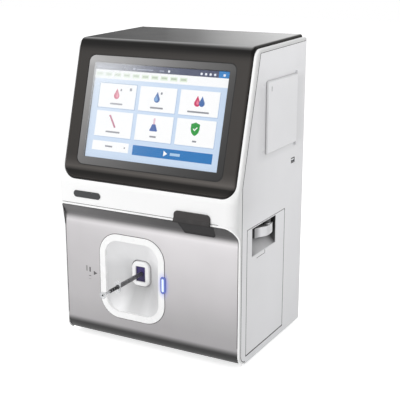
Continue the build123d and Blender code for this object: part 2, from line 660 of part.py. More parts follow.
# ---------------------------------------- rear panel with fan, sockets and power inlet
FAN_X = -70.0
FAN_H = BODY_HEIGHT - 120.0
FAN_SIZE = 80.0
FAN_THICK = 25.0
FAN_HOLE = 37.5
LAN_X = (20.0, 36.0)
LAN_H = (SHELF_H + 15.0, SHELF_H + 29.0)
HOST_X = (50.0, 64.0)
HOST_H = (SHELF_H + 15.0, SHELF_H + 31.0)
INLET_X = (49.0, 111.0)
INLET_H = (29.0, 51.0)
INLET_LAP = 4.0
SLOT_COUNT = 10
SLOT_PITCH = 8.0
SLOT_LONG = 44.0
SLOT_X = -70.0
SLOT_H = 47.0
SCREW_HEAD = 2.8
SCREW_HEAD_TALL = 1.6
SCREW_SHANK = 1.5
BOARD_X = (-20.0, HALF - 10.0)
BOARD_D = (12.0, 13.6)
BOARD_H = (SHELF_H + 8.0, BODY_HEIGHT - 45.0)
BOARD_INSET = 8.0
STUD_R = 3.0
rear_top = BODY_HEIGHT - COVER_WALL - 0.08
SCREW_INSET = 12.0
SCREW_LOW = 16.0
screw_pitch = (BODY_HEIGHT - 25.0 - SCREW_LOW) / 3
screw_x = HALF - SCREW_INSET
screw_spots = [(sx * screw_x, SCREW_LOW + row * screw_pitch) for sx in (-1, 1) for row in range(4)]

with BuildPart() as rear_panel:
    block((-INNER, INNER), (0, SHEET), (0, SEAM_TOP - 1.2))
    block((-cover_half + COVER_WALL + GAP, cover_half - COVER_WALL - GAP), (0, SHEET),
          (SEAM_TOP - 2, rear_top))
    rod_front(FAN_X, FAN_H, FAN_HOLE, (-1, SHEET + 1), mode=Mode.SUBTRACT)
    block(LAN_X, (-1, SHEET + 1), LAN_H, mode=Mode.SUBTRACT)
    block(HOST_X, (-1, SHEET + 1), HOST_H, mode=Mode.SUBTRACT)
    block(INLET_X, (-1, SHEET + 1), INLET_H, mode=Mode.SUBTRACT)
    with BuildSketch(front_plane(-1)):
        with Locations((SLOT_X, SLOT_H)):
            with GridLocations(SLOT_PITCH, 1, SLOT_COUNT, 1):
                SlotOverall(SLOT_LONG, VENT_WIDE, rotation=90)
    extrude(amount=SHEET + 2, mode=Mode.SUBTRACT)
    for sx, sh in screw_spots:
        rod_front(sx, sh, SCREW_SHANK, (-1, SHEET + 1), mode=Mode.SUBTRACT)
    for sx in (BOARD_X[0] + BOARD_INSET, BOARD_X[1] - BOARD_INSET):
        for sh in (BOARD_H[0] + BOARD_INSET, BOARD_H[1] - BOARD_INSET):
            rod_front(sx, sh, STUD_R, (SHEET, BOARD_D[0]))
save(rear_panel.part, "rear_panel")

with BuildPart() as case_screws:
    for sx, sh in screw_spots:
        rod_front(sx, sh, SCREW_HEAD, (-SCREW_HEAD_TALL, 0))
        rod_front(sx, sh, SCREW_SHANK, (0, SHEET))
save(case_screws.part, "case_screws")

with BuildPart() as inner_shelf:
    block((-INNER, INNER), (SHEET, seam_low[0]), (SHELF_H, SHELF_H + SHEET))
    for sx in (-1, 1):
        with Locations(at(sx * 60, 60, SHELF_H)):
            Box(50, 20, 10, mode=Mode.SUBTRACT)
save(inner_shelf.part, "inner_shelf")

FAN_HUB = 16.5
FAN_STRUT = 4.0
FAN_PIN = 2.4
BLADE_COUNT = 7
BLADE_PITCH = 38.0
BLADE_CHORD = 17.0
BLADE_THICK = 1.5
fan_d = (SHEET, SHEET + FAN_THICK)
with BuildPart() as fan_frame:
    with BuildSketch(front_plane(fan_d[0])):
        outline(FAN_SIZE, FAN_SIZE, 4, (FAN_X, FAN_H))
        with Locations((FAN_X, FAN_H)):
            Circle(FAN_HOLE, mode=Mode.SUBTRACT)
            with GridLocations(FAN_SIZE - 8.5, FAN_SIZE - 8.5, 2, 2):
                Circle(2.2, mode=Mode.SUBTRACT)
    extrude(amount=FAN_THICK)
    block((FAN_X - FAN_HOLE - 1, FAN_X + FAN_HOLE + 1), (fan_d[1] - 3, fan_d[1]),
          (FAN_H - FAN_STRUT / 2, FAN_H + FAN_STRUT / 2))
    block((FAN_X - FAN_STRUT / 2, FAN_X + FAN_STRUT / 2), (fan_d[1] - 3, fan_d[1]),
          (FAN_H - FAN_HOLE - 1, FAN_H + FAN_HOLE + 1))
    rod_front(FAN_X, FAN_H, FAN_HUB, (fan_d[1] - 3, fan_d[1]))
    rod_front(FAN_X, FAN_H, FAN_PIN, (fan_d[0] + 6, fan_d[1] - 2))
save(fan_frame.part, "fan_frame")

rotor_d = (fan_d[0] + 3, fan_d[1] - 4)
with BuildPart() as fan_rotor:
    for blade in range(BLADE_COUNT):
        turn = 360.0 / BLADE_COUNT * blade
        centre = Location(at(FAN_X, (rotor_d[0] + rotor_d[1]) / 2, FAN_H))
        spoke = centre * Location((0, 0, 0), (0, turn, 0))
        with Locations(spoke * Location((26, 0, 0), (BLADE_PITCH, 0, 0))):
            Box(22, BLADE_THICK, BLADE_CHORD)
    rod_front(FAN_X, FAN_H, FAN_HOLE - 1, rotor_d, mode=Mode.INTERSECT)
    rod_front(FAN_X, FAN_H, FAN_HUB, rotor_d)
    rod_front(FAN_X, FAN_H, FAN_PIN + 0.08, (rotor_d[0] + 2.5, rotor_d[1] + 1), mode=Mode.SUBTRACT)
save(fan_rotor.part, "fan_rotor")

GUARD_RINGS = 4
GUARD_PITCH = 9.5
GUARD_WIRE = 1.6
with BuildPart() as fan_guard:
    with BuildSketch(front_plane(-GUARD_REACH)):
        with Locations((FAN_X, FAN_H)):
            for ring in range(GUARD_RINGS, 0, -1):
                Circle(ring * GUARD_PITCH + GUARD_WIRE / 2)
                Circle(ring * GUARD_PITCH - GUARD_WIRE / 2, mode=Mode.SUBTRACT)
            Rectangle(2 * GUARD_RINGS * GUARD_PITCH, GUARD_WIRE)
            Rectangle(GUARD_WIRE, 2 * GUARD_RINGS * GUARD_PITCH)
    extrude(amount=GUARD_REACH)
save(fan_guard.part, "fan_guard")

# ---------------------------------------- sampling mechanism behind the port
PROBE_FRAME_HALF = 30.0
PROBE_BASE_H = (PORT_H - 41.5, PORT_H - 38.5)
PROBE_TOP_H = PORT_H + 31.5
PROBE_FRONT = (BARREL_BACK - 22.0, BARREL_BACK - 19.0)
PROBE_BACK = (PROBE_FRONT[0] - 76.0, PROBE_FRONT[1] - 76.0)
ROD_SPREAD = 20.0
ROD_H = PORT_H - 18.0
ROD_R = 3.0
SCREW_H = PORT_H + 20.0
SCREW_R = 3.0
RUN_FIT = 0.08
PROBE_R = 0.8
PROBE_BORE = 0.45
CARRIAGE_D = (PROBE_BACK[0] + 14.0, PROBE_BACK[0] + 32.0)
CARRIAGE_H = (PORT_H - 27.5, PORT_H + 28.5)
CARRIAGE_HALF = 26.0
MOTOR_D = (PROBE_BACK[0] - 26.0, PROBE_BACK[0])
MOTOR_HALF = 17.5
SCREW_TAIL = MOTOR_D[1] - 5.7
probe_frame_x = (PORT_X - PROBE_FRAME_HALF, PORT_X + PROBE_FRAME_HALF)
with BuildPart() as probe_frame:
    block(probe_frame_x, (PROBE_BACK[0], PROBE_FRONT[1]), PROBE_BASE_H)
    for plate in (PROBE_BACK, PROBE_FRONT):
        block(probe_frame_x, plate, (PROBE_BASE_H[1], PROBE_TOP_H))
        rod_front(PORT_X, SCREW_H, SCREW_R + RUN_FIT, (plate[0] - 1, plate[1] + 1), mode=Mode.SUBTRACT)
        for side in (-1, 1):
            rod_front(PORT_X + side * ROD_SPREAD, ROD_H, ROD_R + HAIR, (plate[0] - 1, plate[1] + 1),
                      mode=Mode.SUBTRACT)
    rod_front(PORT_X, PORT_H, PROBE_R + 1.2, (PROBE_FRONT[0] - 1, PROBE_FRONT[1] + 1), mode=Mode.SUBTRACT)
    for side in (-1, 1):
        leg = sorted((PORT_X + side * PROBE_FRAME_HALF, PORT_X + side * (PROBE_FRAME_HALF - 2.5)))
        block(leg, (PROBE_BACK[0] + 10, PROBE_FRONT[0] - 6), (SHEET, PROBE_BASE_H[0]))
save(probe_frame.part, "probe_frame")

with BuildPart() as guide_rods:
    for side in (-1, 1):
        rod_front(PORT_X + side * ROD_SPREAD, ROD_H, ROD_R, (PROBE_BACK[0], PROBE_FRONT[1]))
save(guide_rods.part, "guide_rods")

with BuildPart() as probe_carriage:
    block((PORT_X - CARRIAGE_HALF, PORT_X + CARRIAGE_HALF), CARRIAGE_D, CARRIAGE_H)
    fillet(probe_carriage.edges().filter_by(Axis.Y), 3.0)
    for side in (-1, 1):
        rod_front(PORT_X + side * ROD_SPREAD, ROD_H, ROD_R + RUN_FIT, (CARRIAGE_D[0] - 1, CARRIAGE_D[1] + 1),
                  mode=Mode.SUBTRACT)
    rod_front(PORT_X, SCREW_H, SCREW_R + 0.1, (CARRIAGE_D[0] - 1, CARRIAGE_D[1] + 1), mode=Mode.SUBTRACT)
    rod_front(PORT_X, PORT_H, PROBE_R, (CARRIAGE_D[0] - 1, CARRIAGE_D[1] + 1), mode=Mode.SUBTRACT)
save(probe_carriage.part, "probe_carriage")

with BuildPart() as sampling_probe:
    rod_front(PORT_X, PORT_H, PROBE_R, (CARRIAGE_D[0] - 4, PROBE_FRONT[1] + 3))
    rod_front(PORT_X, PORT_H, PROBE_BORE, (CARRIAGE_D[0] - 5, PROBE_FRONT[1] + 4), mode=Mode.SUBTRACT)
save(sampling_probe.part, "sampling_probe")

with BuildPart() as lead_screw:
    rod_front(PORT_X, SCREW_H, SCREW_R, (SCREW_TAIL, PROBE_FRONT[1]))
save(lead_screw.part, "lead_screw")

with BuildPart() as probe_motor:
    block((PORT_X - MOTOR_HALF, PORT_X + MOTOR_HALF), MOTOR_D, (SCREW_H - MOTOR_HALF, SCREW_H + MOTOR_HALF))
    fillet(probe_motor.edges().filter_by(Axis.Y), 4.0)
    rod_front(PORT_X, SCREW_H, SCREW_R + GAP, (SCREW_TAIL - 0.5, MOTOR_D[1] + 1), mode=Mode.SUBTRACT)
save(probe_motor.part, "probe_motor")

# ---------------------------------------- peristaltic pump, sensors and measuring block
BLOCK_CLEAR = 13.5  # measuring block, from the case's flank and from the probe's frame
BLOCK_X = (BLOCK_CLEAR - HALF, PORT_X - PROBE_FRAME_HALF - BLOCK_CLEAR)
PUMP_X = (BLOCK_X[0] + BLOCK_X[1]) / 2 - 1.5
PUMP_H = SHELF_H - 42.0
PUMP_PLATE = (TRAY_FRONT - 40.0, TRAY_FRONT - 37.0)
PUMP_RING = (21.5, 25.0)
PUMP_RING_D = PUMP_PLATE[1] + 20.0
PUMP_HALF = 27.0
PUMP_DISC = 12.0
ROLLER_R = 4.0
ROLLER_AT = 15.0
ROLLER_COUNT = 3
SHAFT_R = 2.5
PUMP_MOTOR_R = 17.5
TUBE_R = 1.6
TUBE_SPREAD = 16.0
TUBE_D = PUMP_PLATE[1] + 10.0
BARB_H = (PUMP_H - 27.0, PUMP_H - 17.5)
pump_wide = (PUMP_X - PUMP_HALF, PUMP_X + PUMP_HALF)
with BuildPart() as pump_body:
    block(pump_wide, PUMP_PLATE, (PUMP_H - PUMP_HALF - 3, SHELF_H))
    block(pump_wide, (PUMP_PLATE[0] - 20, PUMP_PLATE[1]), (SHELF_H - 2, SHELF_H))
    rod_front(PUMP_X, PUMP_H, PUMP_RING[1], (PUMP_PLATE[1], PUMP_RING_D))
    for side in (-1, 1):
        rod_up(PUMP_X + side * TUBE_SPREAD, TUBE_D, TUBE_R + 0.9, BARB_H)
    rod_front(PUMP_X, PUMP_H, PUMP_RING[0], (PUMP_PLATE[1], PUMP_RING_D + 1), mode=Mode.SUBTRACT)
    rod_front(PUMP_X, PUMP_H, SHAFT_R + RUN_FIT, (PUMP_PLATE[0] - 1, PUMP_PLATE[1] + 1), mode=Mode.SUBTRACT)
save(pump_body.part, "pump_body")

with BuildPart() as pump_rotor:
    rod_front(PUMP_X, PUMP_H, PUMP_DISC + 5, (PUMP_RING_D - 4, PUMP_RING_D - 2))
    rod_front(PUMP_X, PUMP_H, PUMP_DISC + 5, (PUMP_PLATE[1] + 2, PUMP_PLATE[1] + 4))
    rod_front(PUMP_X, PUMP_H, SHAFT_R + 2, (PUMP_PLATE[1] + 2, PUMP_RING_D - 2))
    rod_front(PUMP_X, PUMP_H, SHAFT_R, (PUMP_PLATE[0] - 4, PUMP_PLATE[1] + 3))
    for roller in range(ROLLER_COUNT):
        angle = radians(360.0 / ROLLER_COUNT * roller)
        rod_front(PUMP_X + ROLLER_AT * cos(angle), PUMP_H + ROLLER_AT * sin(angle), ROLLER_R,
                  (PUMP_PLATE[1] + 3, PUMP_RING_D - 3))
save(pump_rotor.part, "pump_rotor")

with BuildPart() as pump_motor:
    rod_front(PUMP_X, PUMP_H, PUMP_MOTOR_R, (PUMP_PLATE[0] - 35, PUMP_PLATE[0]))
    fillet(pump_motor.faces().sort_by(Axis.Y)[-1].edges(), 1.5)
    rod_front(PUMP_X, PUMP_H, SHAFT_R + GAP, (PUMP_PLATE[0] - 5, PUMP_PLATE[0] + 1), mode=Mode.SUBTRACT)
save(pump_motor.part, "pump_motor")

BLOCK_D = (TRAY_FRONT - 70.0, TRAY_FRONT - SHEET)
BLOCK_TOP = 60.0
CASSETTE_TOP = 74.0
with BuildPart() as measuring_block:
    block(BLOCK_X, BLOCK_D, (SHEET, BLOCK_TOP))
    fillet(measuring_block.edges().filter_by(Axis.Z), 3.0)
    for fin in range(7):
        fin_h = 10.0 + fin * 7.0
        block((BLOCK_X[0] + 6, BLOCK_X[1] - 6), (BLOCK_D[1] - 5, BLOCK_D[1] + 1), (fin_h, fin_h + 3.5),
              mode=Mode.SUBTRACT)
save(measuring_block.part, "measuring_block")

with BuildPart() as sensor_cassette:
    block((BLOCK_X[0] + 4, BLOCK_X[1] - 4), (BLOCK_D[0] + 6, BLOCK_D[1] - 6), (BLOCK_TOP, CASSETTE_TOP))
    fillet(sensor_cassette.edges().filter_by(Axis.Z), 3.0)
    fillet(sensor_cassette.faces().sort_by(Axis.Z)[-1].edges(), 1.0)
save(sensor_cassette.part, "sensor_cassette")

with BuildPart() as pump_tubes:
    for side in (-1, 1):
        rod_up(PUMP_X + side * TUBE_SPREAD, TUBE_D, TUBE_R, (CASSETTE_TOP, BARB_H[0]))
save(pump_tubes.part, "pump_tubes")

# ---------------------------------------- reagent drawer
CAGE_X = 12.0
CAGE_D = (DRAWER_MID - 67.5, DRAWER_MID + 67.5)
CAGE_TOP = DRAWER_TOP - 19.2
RAIL_OUT = 65.5  # rail's back, from the drawer's middle
RAIL_IN = 60.5
RAIL_GROOVE = 63.3
RAIL_H = (20.0, 40.0)
GROOVE_H = (23.7, 36.7)
RUNNER_OUT = 63.0
TRAY_HALF = 57.5
TRAY_X = (18.0, HALF - 3.2)
TRAY_H = (14.0, DRAWER_TOP - 125.2)
RUNNER_END = HALF - 10.0
with BuildPart() as drawer_cage:
    block((CAGE_X, INNER), CAGE_D, (SHEET, CAGE_TOP))
    block((CAGE_X + SHEET, INNER + 1), (CAGE_D[0] + SHEET, CAGE_D[1] - SHEET), (SHEET - 1, CAGE_TOP + 1),
          mode=Mode.SUBTRACT)
    block((CAGE_X - 1, INNER + 1), (TRAY_FRONT - SHEET, CAGE_D[1] + 1), (0, TRAY_LIP + 1), mode=Mode.SUBTRACT)
    block((INNER - SHEET, INNER + 1), (CAGE_D[0] - 1, CAGE_D[1]), (0, TRAY_LIP), mode=Mode.SUBTRACT)
save(drawer_cage.part, "drawer_cage")

with BuildPart() as drawer_rails:
    for side in (-1, 1):
        wall = sorted((DRAWER_MID + side * RAIL_IN, DRAWER_MID + side * RAIL_OUT))
        groove = sorted((DRAWER_MID + side * (RAIL_IN - 1), DRAWER_MID + side * RAIL_GROOVE))
        block((TRAY_X[0], INNER - 2.5), wall, RAIL_H)
        block((TRAY_X[0] - 1, INNER), groove, GROOVE_H, mode=Mode.SUBTRACT)
save(drawer_rails.part, "drawer_rails")

with BuildPart() as drawer_runners:
    for side in (-1, 1):
        runner = sorted((DRAWER_MID + side * TRAY_HALF, DRAWER_MID + side * RUNNER_OUT))
        block((TRAY_X[0] + 2, RUNNER_END), runner, (GROOVE_H[0] + GAP, GROOVE_H[1] - GAP))
save(drawer_runners.part, "drawer_runners")

with BuildPart() as drawer_tray:
    tray_d = (DRAWER_MID - TRAY_HALF, DRAWER_MID + TRAY_HALF)
    block(TRAY_X, tray_d, TRAY_H)
    fillet(drawer_tray.edges().filter_by(Axis.Z).group_by(Axis.X)[0], 4.0)
    block((TRAY_X[0] + 2, TRAY_X[1] - 2), (tray_d[0] + 2, tray_d[1] - 2), (TRAY_H[0] + 2, TRAY_H[1] + 1),
          mode=Mode.SUBTRACT)
save(drawer_tray.part, "drawer_tray")

POCKET_D = (DRAWER_MID - 31.75, DRAWER_MID + 47.85)
POCKET_H = (DRAWER_TOP - 44.7, DRAWER_TOP - 2.2)
POCKET_X = HALF - 27.0
POCKET_WALL = 2.0
pocket_tall = POCKET_H[1] - POCKET_H[0]
pocket_bend = POCKET_H[0] + 0.72 * pocket_tall
front_d = (drawer_d[0] + DRAWER_GAP, drawer_d[1] - DRAWER_GAP)
front_h = (DRAWER_LOW + 1.6, DRAWER_TOP - DRAWER_GAP)
LEVER_PIVOT = (HALF - 7.0, DRAWER_MID - 16.75)
SPINDLE_R = 2.0
BOSS_R = 5.0
lever_h = (POCKET_H[0] + 0.435 * pocket_tall, POCKET_H[0] + 0.776 * pocket_tall)
boss_h = POCKET_H[0] + 0.812 * pocket_tall


def pocket_points(wall, out):
    """Corners of the grip pocket's section in x and h, grown by a wall and run out past the face."""
    low = POCKET_H[0] - wall * 1.3
    high = POCKET_H[1] + wall * 0.75
    return (
        (HALF + out, low - out), (POCKET_X + 1 - wall, pocket_bend - wall),
        (POCKET_X - wall, pocket_bend + 2 - wall), (POCKET_X - wall, high), (HALF + out, high),
    )


with BuildPart() as drawer_front:
    block((TRAY_X[1], HALF), front_d, front_h)
    fillet(drawer_front.edges().filter_by(Axis.X), 2.0)
    with BuildSketch(front_plane(POCKET_D[0] - POCKET_WALL)):
        with BuildLine():
            Polyline(*pocket_points(POCKET_WALL, 0.0), close=True)
        make_face()
    extrude(amount=POCKET_D[1] - POCKET_D[0] + 2 * POCKET_WALL)
    with BuildSketch(front_plane(POCKET_D[0])):
        with BuildLine():
            Polyline(*pocket_points(0.0, 1.0), close=True)
        make_face()
    extrude(amount=POCKET_D[1] - POCKET_D[0], mode=Mode.SUBTRACT)
    rod_up(*LEVER_PIVOT, BOSS_R, (boss_h, POCKET_H[1] + 0.5))
    rod_up(*LEVER_PIVOT, SPINDLE_R + 0.06, (boss_h - 1, POCKET_H[1]), mode=Mode.SUBTRACT)
save(drawer_front.part, "drawer_front")


def beside_pivot(side, forward):
    """Point in plan, to the side and forward of the lever's pivot."""
    return (LEVER_PIVOT[0] + side, -LEVER_PIVOT[1] - forward)


with BuildPart() as drawer_lever:
    nose_out, nose_in = beside_pivot(-3, 35.5), beside_pivot(-7, 35.5)
    tail_out, tail_in = beside_pivot(4.2, -11), beside_pivot(-2.5, -10)
    with BuildSketch(level_plane(lever_h[0])) as paddle:
        with BuildLine():
            Spline(nose_out, beside_pivot(-0.5, 26), beside_pivot(5.6, 15), beside_pivot(6.4, 1), tail_out)
            Line(tail_out, tail_in)
            Spline(tail_in, beside_pivot(-2, 7), beside_pivot(-6, 23), nose_in)
            Line(nose_in, nose_out)
        make_face()
    extrude(amount=lever_h[1] - lever_h[0])
    rod_up(*LEVER_PIVOT, SPINDLE_R, (lever_h[1] - 1, POCKET_H[1] - GAP))
    rod_up(*LEVER_PIVOT, BOSS_R, (lever_h[1] - 1, boss_h - GAP))
save(drawer_lever.part, "drawer_lever")

PACK_X = (22.0, 118.0)
PACK_TOP = DRAWER_TOP - 51.2
PACK_HALF = 52.0
MANIFOLD_H = (PACK_TOP - 58.0, PACK_TOP - 18.0)
MANIFOLD_HALF = 35.0
with BuildPart() as reagent_pack:
    block(PACK_X, (DRAWER_MID - PACK_HALF, DRAWER_MID + PACK_HALF), (TRAY_H[0] + 2, PACK_TOP))
    fillet(reagent_pack.edges().filter_by(Axis.Z), 5.0)
    fillet(reagent_pack.faces().sort_by(Axis.Z)[-1].edges(), 3.0)
    block((PACK_X[0] + 22, PACK_X[1] - 22), (DRAWER_MID - 34, DRAWER_MID + 34), (PACK_TOP - 14, PACK_TOP + 1),
          mode=Mode.SUBTRACT)
    block((PACK_X[0] + 42, PACK_X[1] - 42), (DRAWER_MID - 35, DRAWER_MID + 35), (PACK_TOP - 5, PACK_TOP - 1))
save(reagent_pack.part, "reagent_pack")

with BuildPart() as pack_manifold:
    block((CAGE_X + SHEET, PACK_X[0] - GAP), (DRAWER_MID - MANIFOLD_HALF, DRAWER_MID + MANIFOLD_HALF),
          MANIFOLD_H)
    fillet(pack_manifold.edges().filter_by(Axis.X), 4.0)
save(pack_manifold.part, "pack_manifold")

# ---------------------------------------- thermal printer behind its door
DOOR_THICK = 3.1
DOOR_X = (HALF + GAP, HALF + GAP + DOOR_THICK)
DOOR_CHAMFER = 2.0
BARREL_R = 1.55  # of the door's hinge
HINGE = (HALF + 2.0, PRINT_D[0] + BARREL_R)
PIN_R = 0.8
EAR_TALL = 4.0
PLATEN = (HALF - 7.0, PRINT_D[1] - 14.2)
PLATEN_R = 5.0
PLATEN_SHAFT = 2.0
PAPER_H = (print_open_h[0] + 7.7, print_open_h[1] - 7.4)
ROLL = (HALF - 42.0, PRINT_D[0] + 43.8)
ROLL_R = 24.0
ROLL_BORE = 6.0
PRINT_X = HALF - 76.0
PRINT_WALL = 2.0
HEAD_X = (PLATEN[0] - 15.0, PLATEN[0] - PLATEN_R - GAP)
ARM_TALL = 3.7
ARM_D = (PLATEN[1] - 6.0, PLATEN[1] + 6.0)
arm_low = (PAPER_H[0] - 1.3 - ARM_TALL, PAPER_H[0] - 1.3)
arm_high = (PAPER_H[1] + 1.3, PAPER_H[1] + 1.3 + ARM_TALL)
with BuildPart() as printer_door:
    block(DOOR_X, PRINT_D, PRINT_H)
    fillet(printer_door.edges().filter_by(Axis.X), 3.0)
    chamfer(printer_door.faces().sort_by(Axis.X)[-1].edges(), DOOR_CHAMFER)
    block((DOOR_X[0] - 1, HINGE[0]), (PRINT_D[0] - 1, HINGE[1]), (PRINT_H[0] - 1, PRINT_H[1] + 1),
          mode=Mode.SUBTRACT)
    for arm in (arm_low, arm_high):
        block((PLATEN[0] - 4, DOOR_X[0]), ARM_D, arm)
        rod_up(*PLATEN, PLATEN_SHAFT + 0.06, (arm[0] - 1, arm[1] + 1), mode=Mode.SUBTRACT)
    block((DOOR_X[0] - 1, DOOR_X[1] + 1), (PRINT_D[1] - 13, PRINT_D[1] - 11.6),
          (PRINT_H[1] - 15, PRINT_H[1] - 8), mode=Mode.SUBTRACT)
    rod_up(*HINGE, BARREL_R, PRINT_H)
    rod_up(*HINGE, PIN_R + 0.05, (PRINT_H[0] - 1, PRINT_H[0] + 4), mode=Mode.SUBTRACT)
    rod_up(*HINGE, PIN_R + 0.05, (PRINT_H[1] - 4, PRINT_H[1] + 1), mode=Mode.SUBTRACT)
save(printer_door.part, "printer_door")

with BuildPart() as printer_hinge_pins:
    for ear, pin in (
        ((PRINT_H[0] - GAP - EAR_TALL, PRINT_H[0] - GAP), (PRINT_H[0] - 1, PRINT_H[0] + 3)),
        ((PRINT_H[1] + GAP, PRINT_H[1] + GAP + EAR_TALL), (PRINT_H[1] - 3, PRINT_H[1] + 1)),
    ):
        block((HALF, HINGE[0] + BARREL_R), (HINGE[1] - BARREL_R, HINGE[1] + BARREL_R), ear)
        rod_up(*HINGE, PIN_R, pin)
save(printer_hinge_pins.part, "printer_hinge_pins")

with BuildPart() as platen_roller:
    rod_up(*PLATEN, PLATEN_R, PAPER_H)
    rod_up(*PLATEN, PLATEN_SHAFT, (arm_low[0], arm_high[1]))
save(platen_roller.part, "platen_roller")

with BuildPart() as printer_body:
    outer_d = (print_open_d[0] - PRINT_WALL, print_open_d[1] + PRINT_WALL)
    block((PRINT_X, INNER), outer_d, (print_open_h[0] - PRINT_WALL, print_open_h[1] + PRINT_WALL))
    block((PRINT_X + PRINT_WALL, INNER + 1), print_open_d, print_open_h, mode=Mode.SUBTRACT)
    rod_up(*ROLL, ROLL_BORE + 2, (print_open_h[0], PAPER_H[0] - GAP))
    rod_up(*ROLL, ROLL_BORE - GAP, (print_open_h[0], PAPER_H[1] + 1))
save(printer_body.part, "printer_body")

with BuildPart() as print_head:
    block(HEAD_X, (PLATEN[1] - 7, print_open_d[1]), PAPER_H)
    fillet(print_head.edges().filter_by(Axis.Z).group_by(Axis.Y)[-1], 2.0)
save(print_head.part, "print_head")

with BuildPart() as paper_roll:
    rod_up(*ROLL, ROLL_R, PAPER_H)
    rod_up(*ROLL, ROLL_BORE, (PAPER_H[0] - 1, PAPER_H[1] + 1), mode=Mode.SUBTRACT)
save(paper_roll.part, "paper_roll")

# ---------------------------------------- sockets, boards and power
PORT_MOUTH = (12.0, 4.8)  # mouth of one serial-bus socket
SOCKET_DEEP = 10.0
SOCKET_BODY = 17.0
TONGUE_HALF = 5.2
TONGUE = (0.1, 1.9)  # the contact tongue, above the middle of the mouth
with BuildPart() as usb_ports:
    block((HALF - SOCKET_BODY, HALF), usb_d, usb_h)
    block((INNER - 2, INNER), (usb_d[0] - 8, usb_d[1] + 8), (usb_h[0] - 4, usb_h[1] + 4))
    block((HALF - SOCKET_DEEP, HALF + 1), (SIDE_USB_D - PORT_MOUTH[0] / 2, SIDE_USB_D + PORT_MOUTH[0] / 2),
          (SIDE_USB_H - PORT_MOUTH[1] / 2, SIDE_USB_H + PORT_MOUTH[1] / 2), mode=Mode.SUBTRACT)
    block((HALF - SOCKET_DEEP, HALF - 1), (SIDE_USB_D - TONGUE_HALF, SIDE_USB_D + TONGUE_HALF),
          (SIDE_USB_H + TONGUE[0], SIDE_USB_H + TONGUE[1]))
save(usb_ports.part, "usb_ports")

CHIP_THICK = 3.0
CHIPS = ((20, 155, 26), (70, 45, 22), (20, 75, 18), (10, 115, 14))  # x, height on the board and size
CARD_SLOTS = 3
CARD_SLOT = (6.0, 9.0, 30.0)  # width, depth and length
CARD_PITCH = 12.0
CARD_X = BOARD_X[1] - 38.5

with BuildPart() as main_board:
    block(BOARD_X, BOARD_D, BOARD_H)
    for chip_x, chip_up, chip in CHIPS:
        chip_h = BOARD_H[0] + chip_up
        block((chip_x - chip / 2, chip_x + chip / 2), (BOARD_D[1], BOARD_D[1] + CHIP_THICK),
              (chip_h - chip / 2, chip_h + chip / 2))
    for slot in range(CARD_SLOTS):
        slot_x = CARD_X + slot * CARD_PITCH
        block((slot_x, slot_x + CARD_SLOT[0]), (BOARD_D[1], BOARD_D[1] + CARD_SLOT[1]),
              (BOARD_H[0] + 10, BOARD_H[0] + 10 + CARD_SLOT[2]))
save(main_board.part, "main_board")

HOST_SPREAD = 3.8
with BuildPart() as data_ports:
    block(LAN_X, (0, BOARD_D[0]), LAN_H)
    block((LAN_X[0] + 2, LAN_X[1] - 2), (-1, SOCKET_DEEP), (LAN_H[0] + 2, LAN_H[1] - 3), mode=Mode.SUBTRACT)
    block(HOST_X, (0, BOARD_D[0]), HOST_H)
    for side in (-1, 1):
        mouth = (HOST_H[0] + HOST_H[1]) / 2 + side * HOST_SPREAD
        mid = (HOST_X[0] + HOST_X[1]) / 2
        block((mid - PORT_MOUTH[0] / 2, mid + PORT_MOUTH[0] / 2), (-1, SOCKET_DEEP),
              (mouth - PORT_MOUTH[1] / 2, mouth + PORT_MOUTH[1] / 2), mode=Mode.SUBTRACT)
        block((mid - TONGUE_HALF, mid + TONGUE_HALF), (1, SOCKET_DEEP),
              (mouth + TONGUE[0], mouth + TONGUE[1]))
save(data_ports.part, "data_ports")

SUPPLY_X = (BLOCK_CLEAR - HALF, CAGE_X - 17.0)
SUPPLY_D = (8.0, PROBE_BACK[0] - 4.0)
SUPPLY_TOP = PORT_H - 11.5
SUPPLY_WALL = 1.5
with BuildPart() as power_supply:
    block(SUPPLY_X, SUPPLY_D, (SHEET, SUPPLY_TOP))
    fillet(power_supply.edges().filter_by(Axis.Z), 2.0)
    block((SUPPLY_X[0] + SUPPLY_WALL, SUPPLY_X[1] - SUPPLY_WALL),
          (SUPPLY_D[0] + SUPPLY_WALL, SUPPLY_D[1] - SUPPLY_WALL),
          (SHEET + SUPPLY_WALL, SUPPLY_TOP - SUPPLY_WALL), mode=Mode.SUBTRACT)
    with BuildSketch(level_plane(SUPPLY_TOP - 2)):
        with Locations(((SUPPLY_X[0] + SUPPLY_X[1]) / 2, -(SUPPLY_D[0] + SUPPLY_D[1]) / 2)):
            with GridLocations(10, 1, 11, 1):
                SlotOverall(SUPPLY_D[1] - SUPPLY_D[0] - 14, 4, rotation=90)
    extrude(amount=4, mode=Mode.SUBTRACT)
save(power_supply.part, "power_supply")

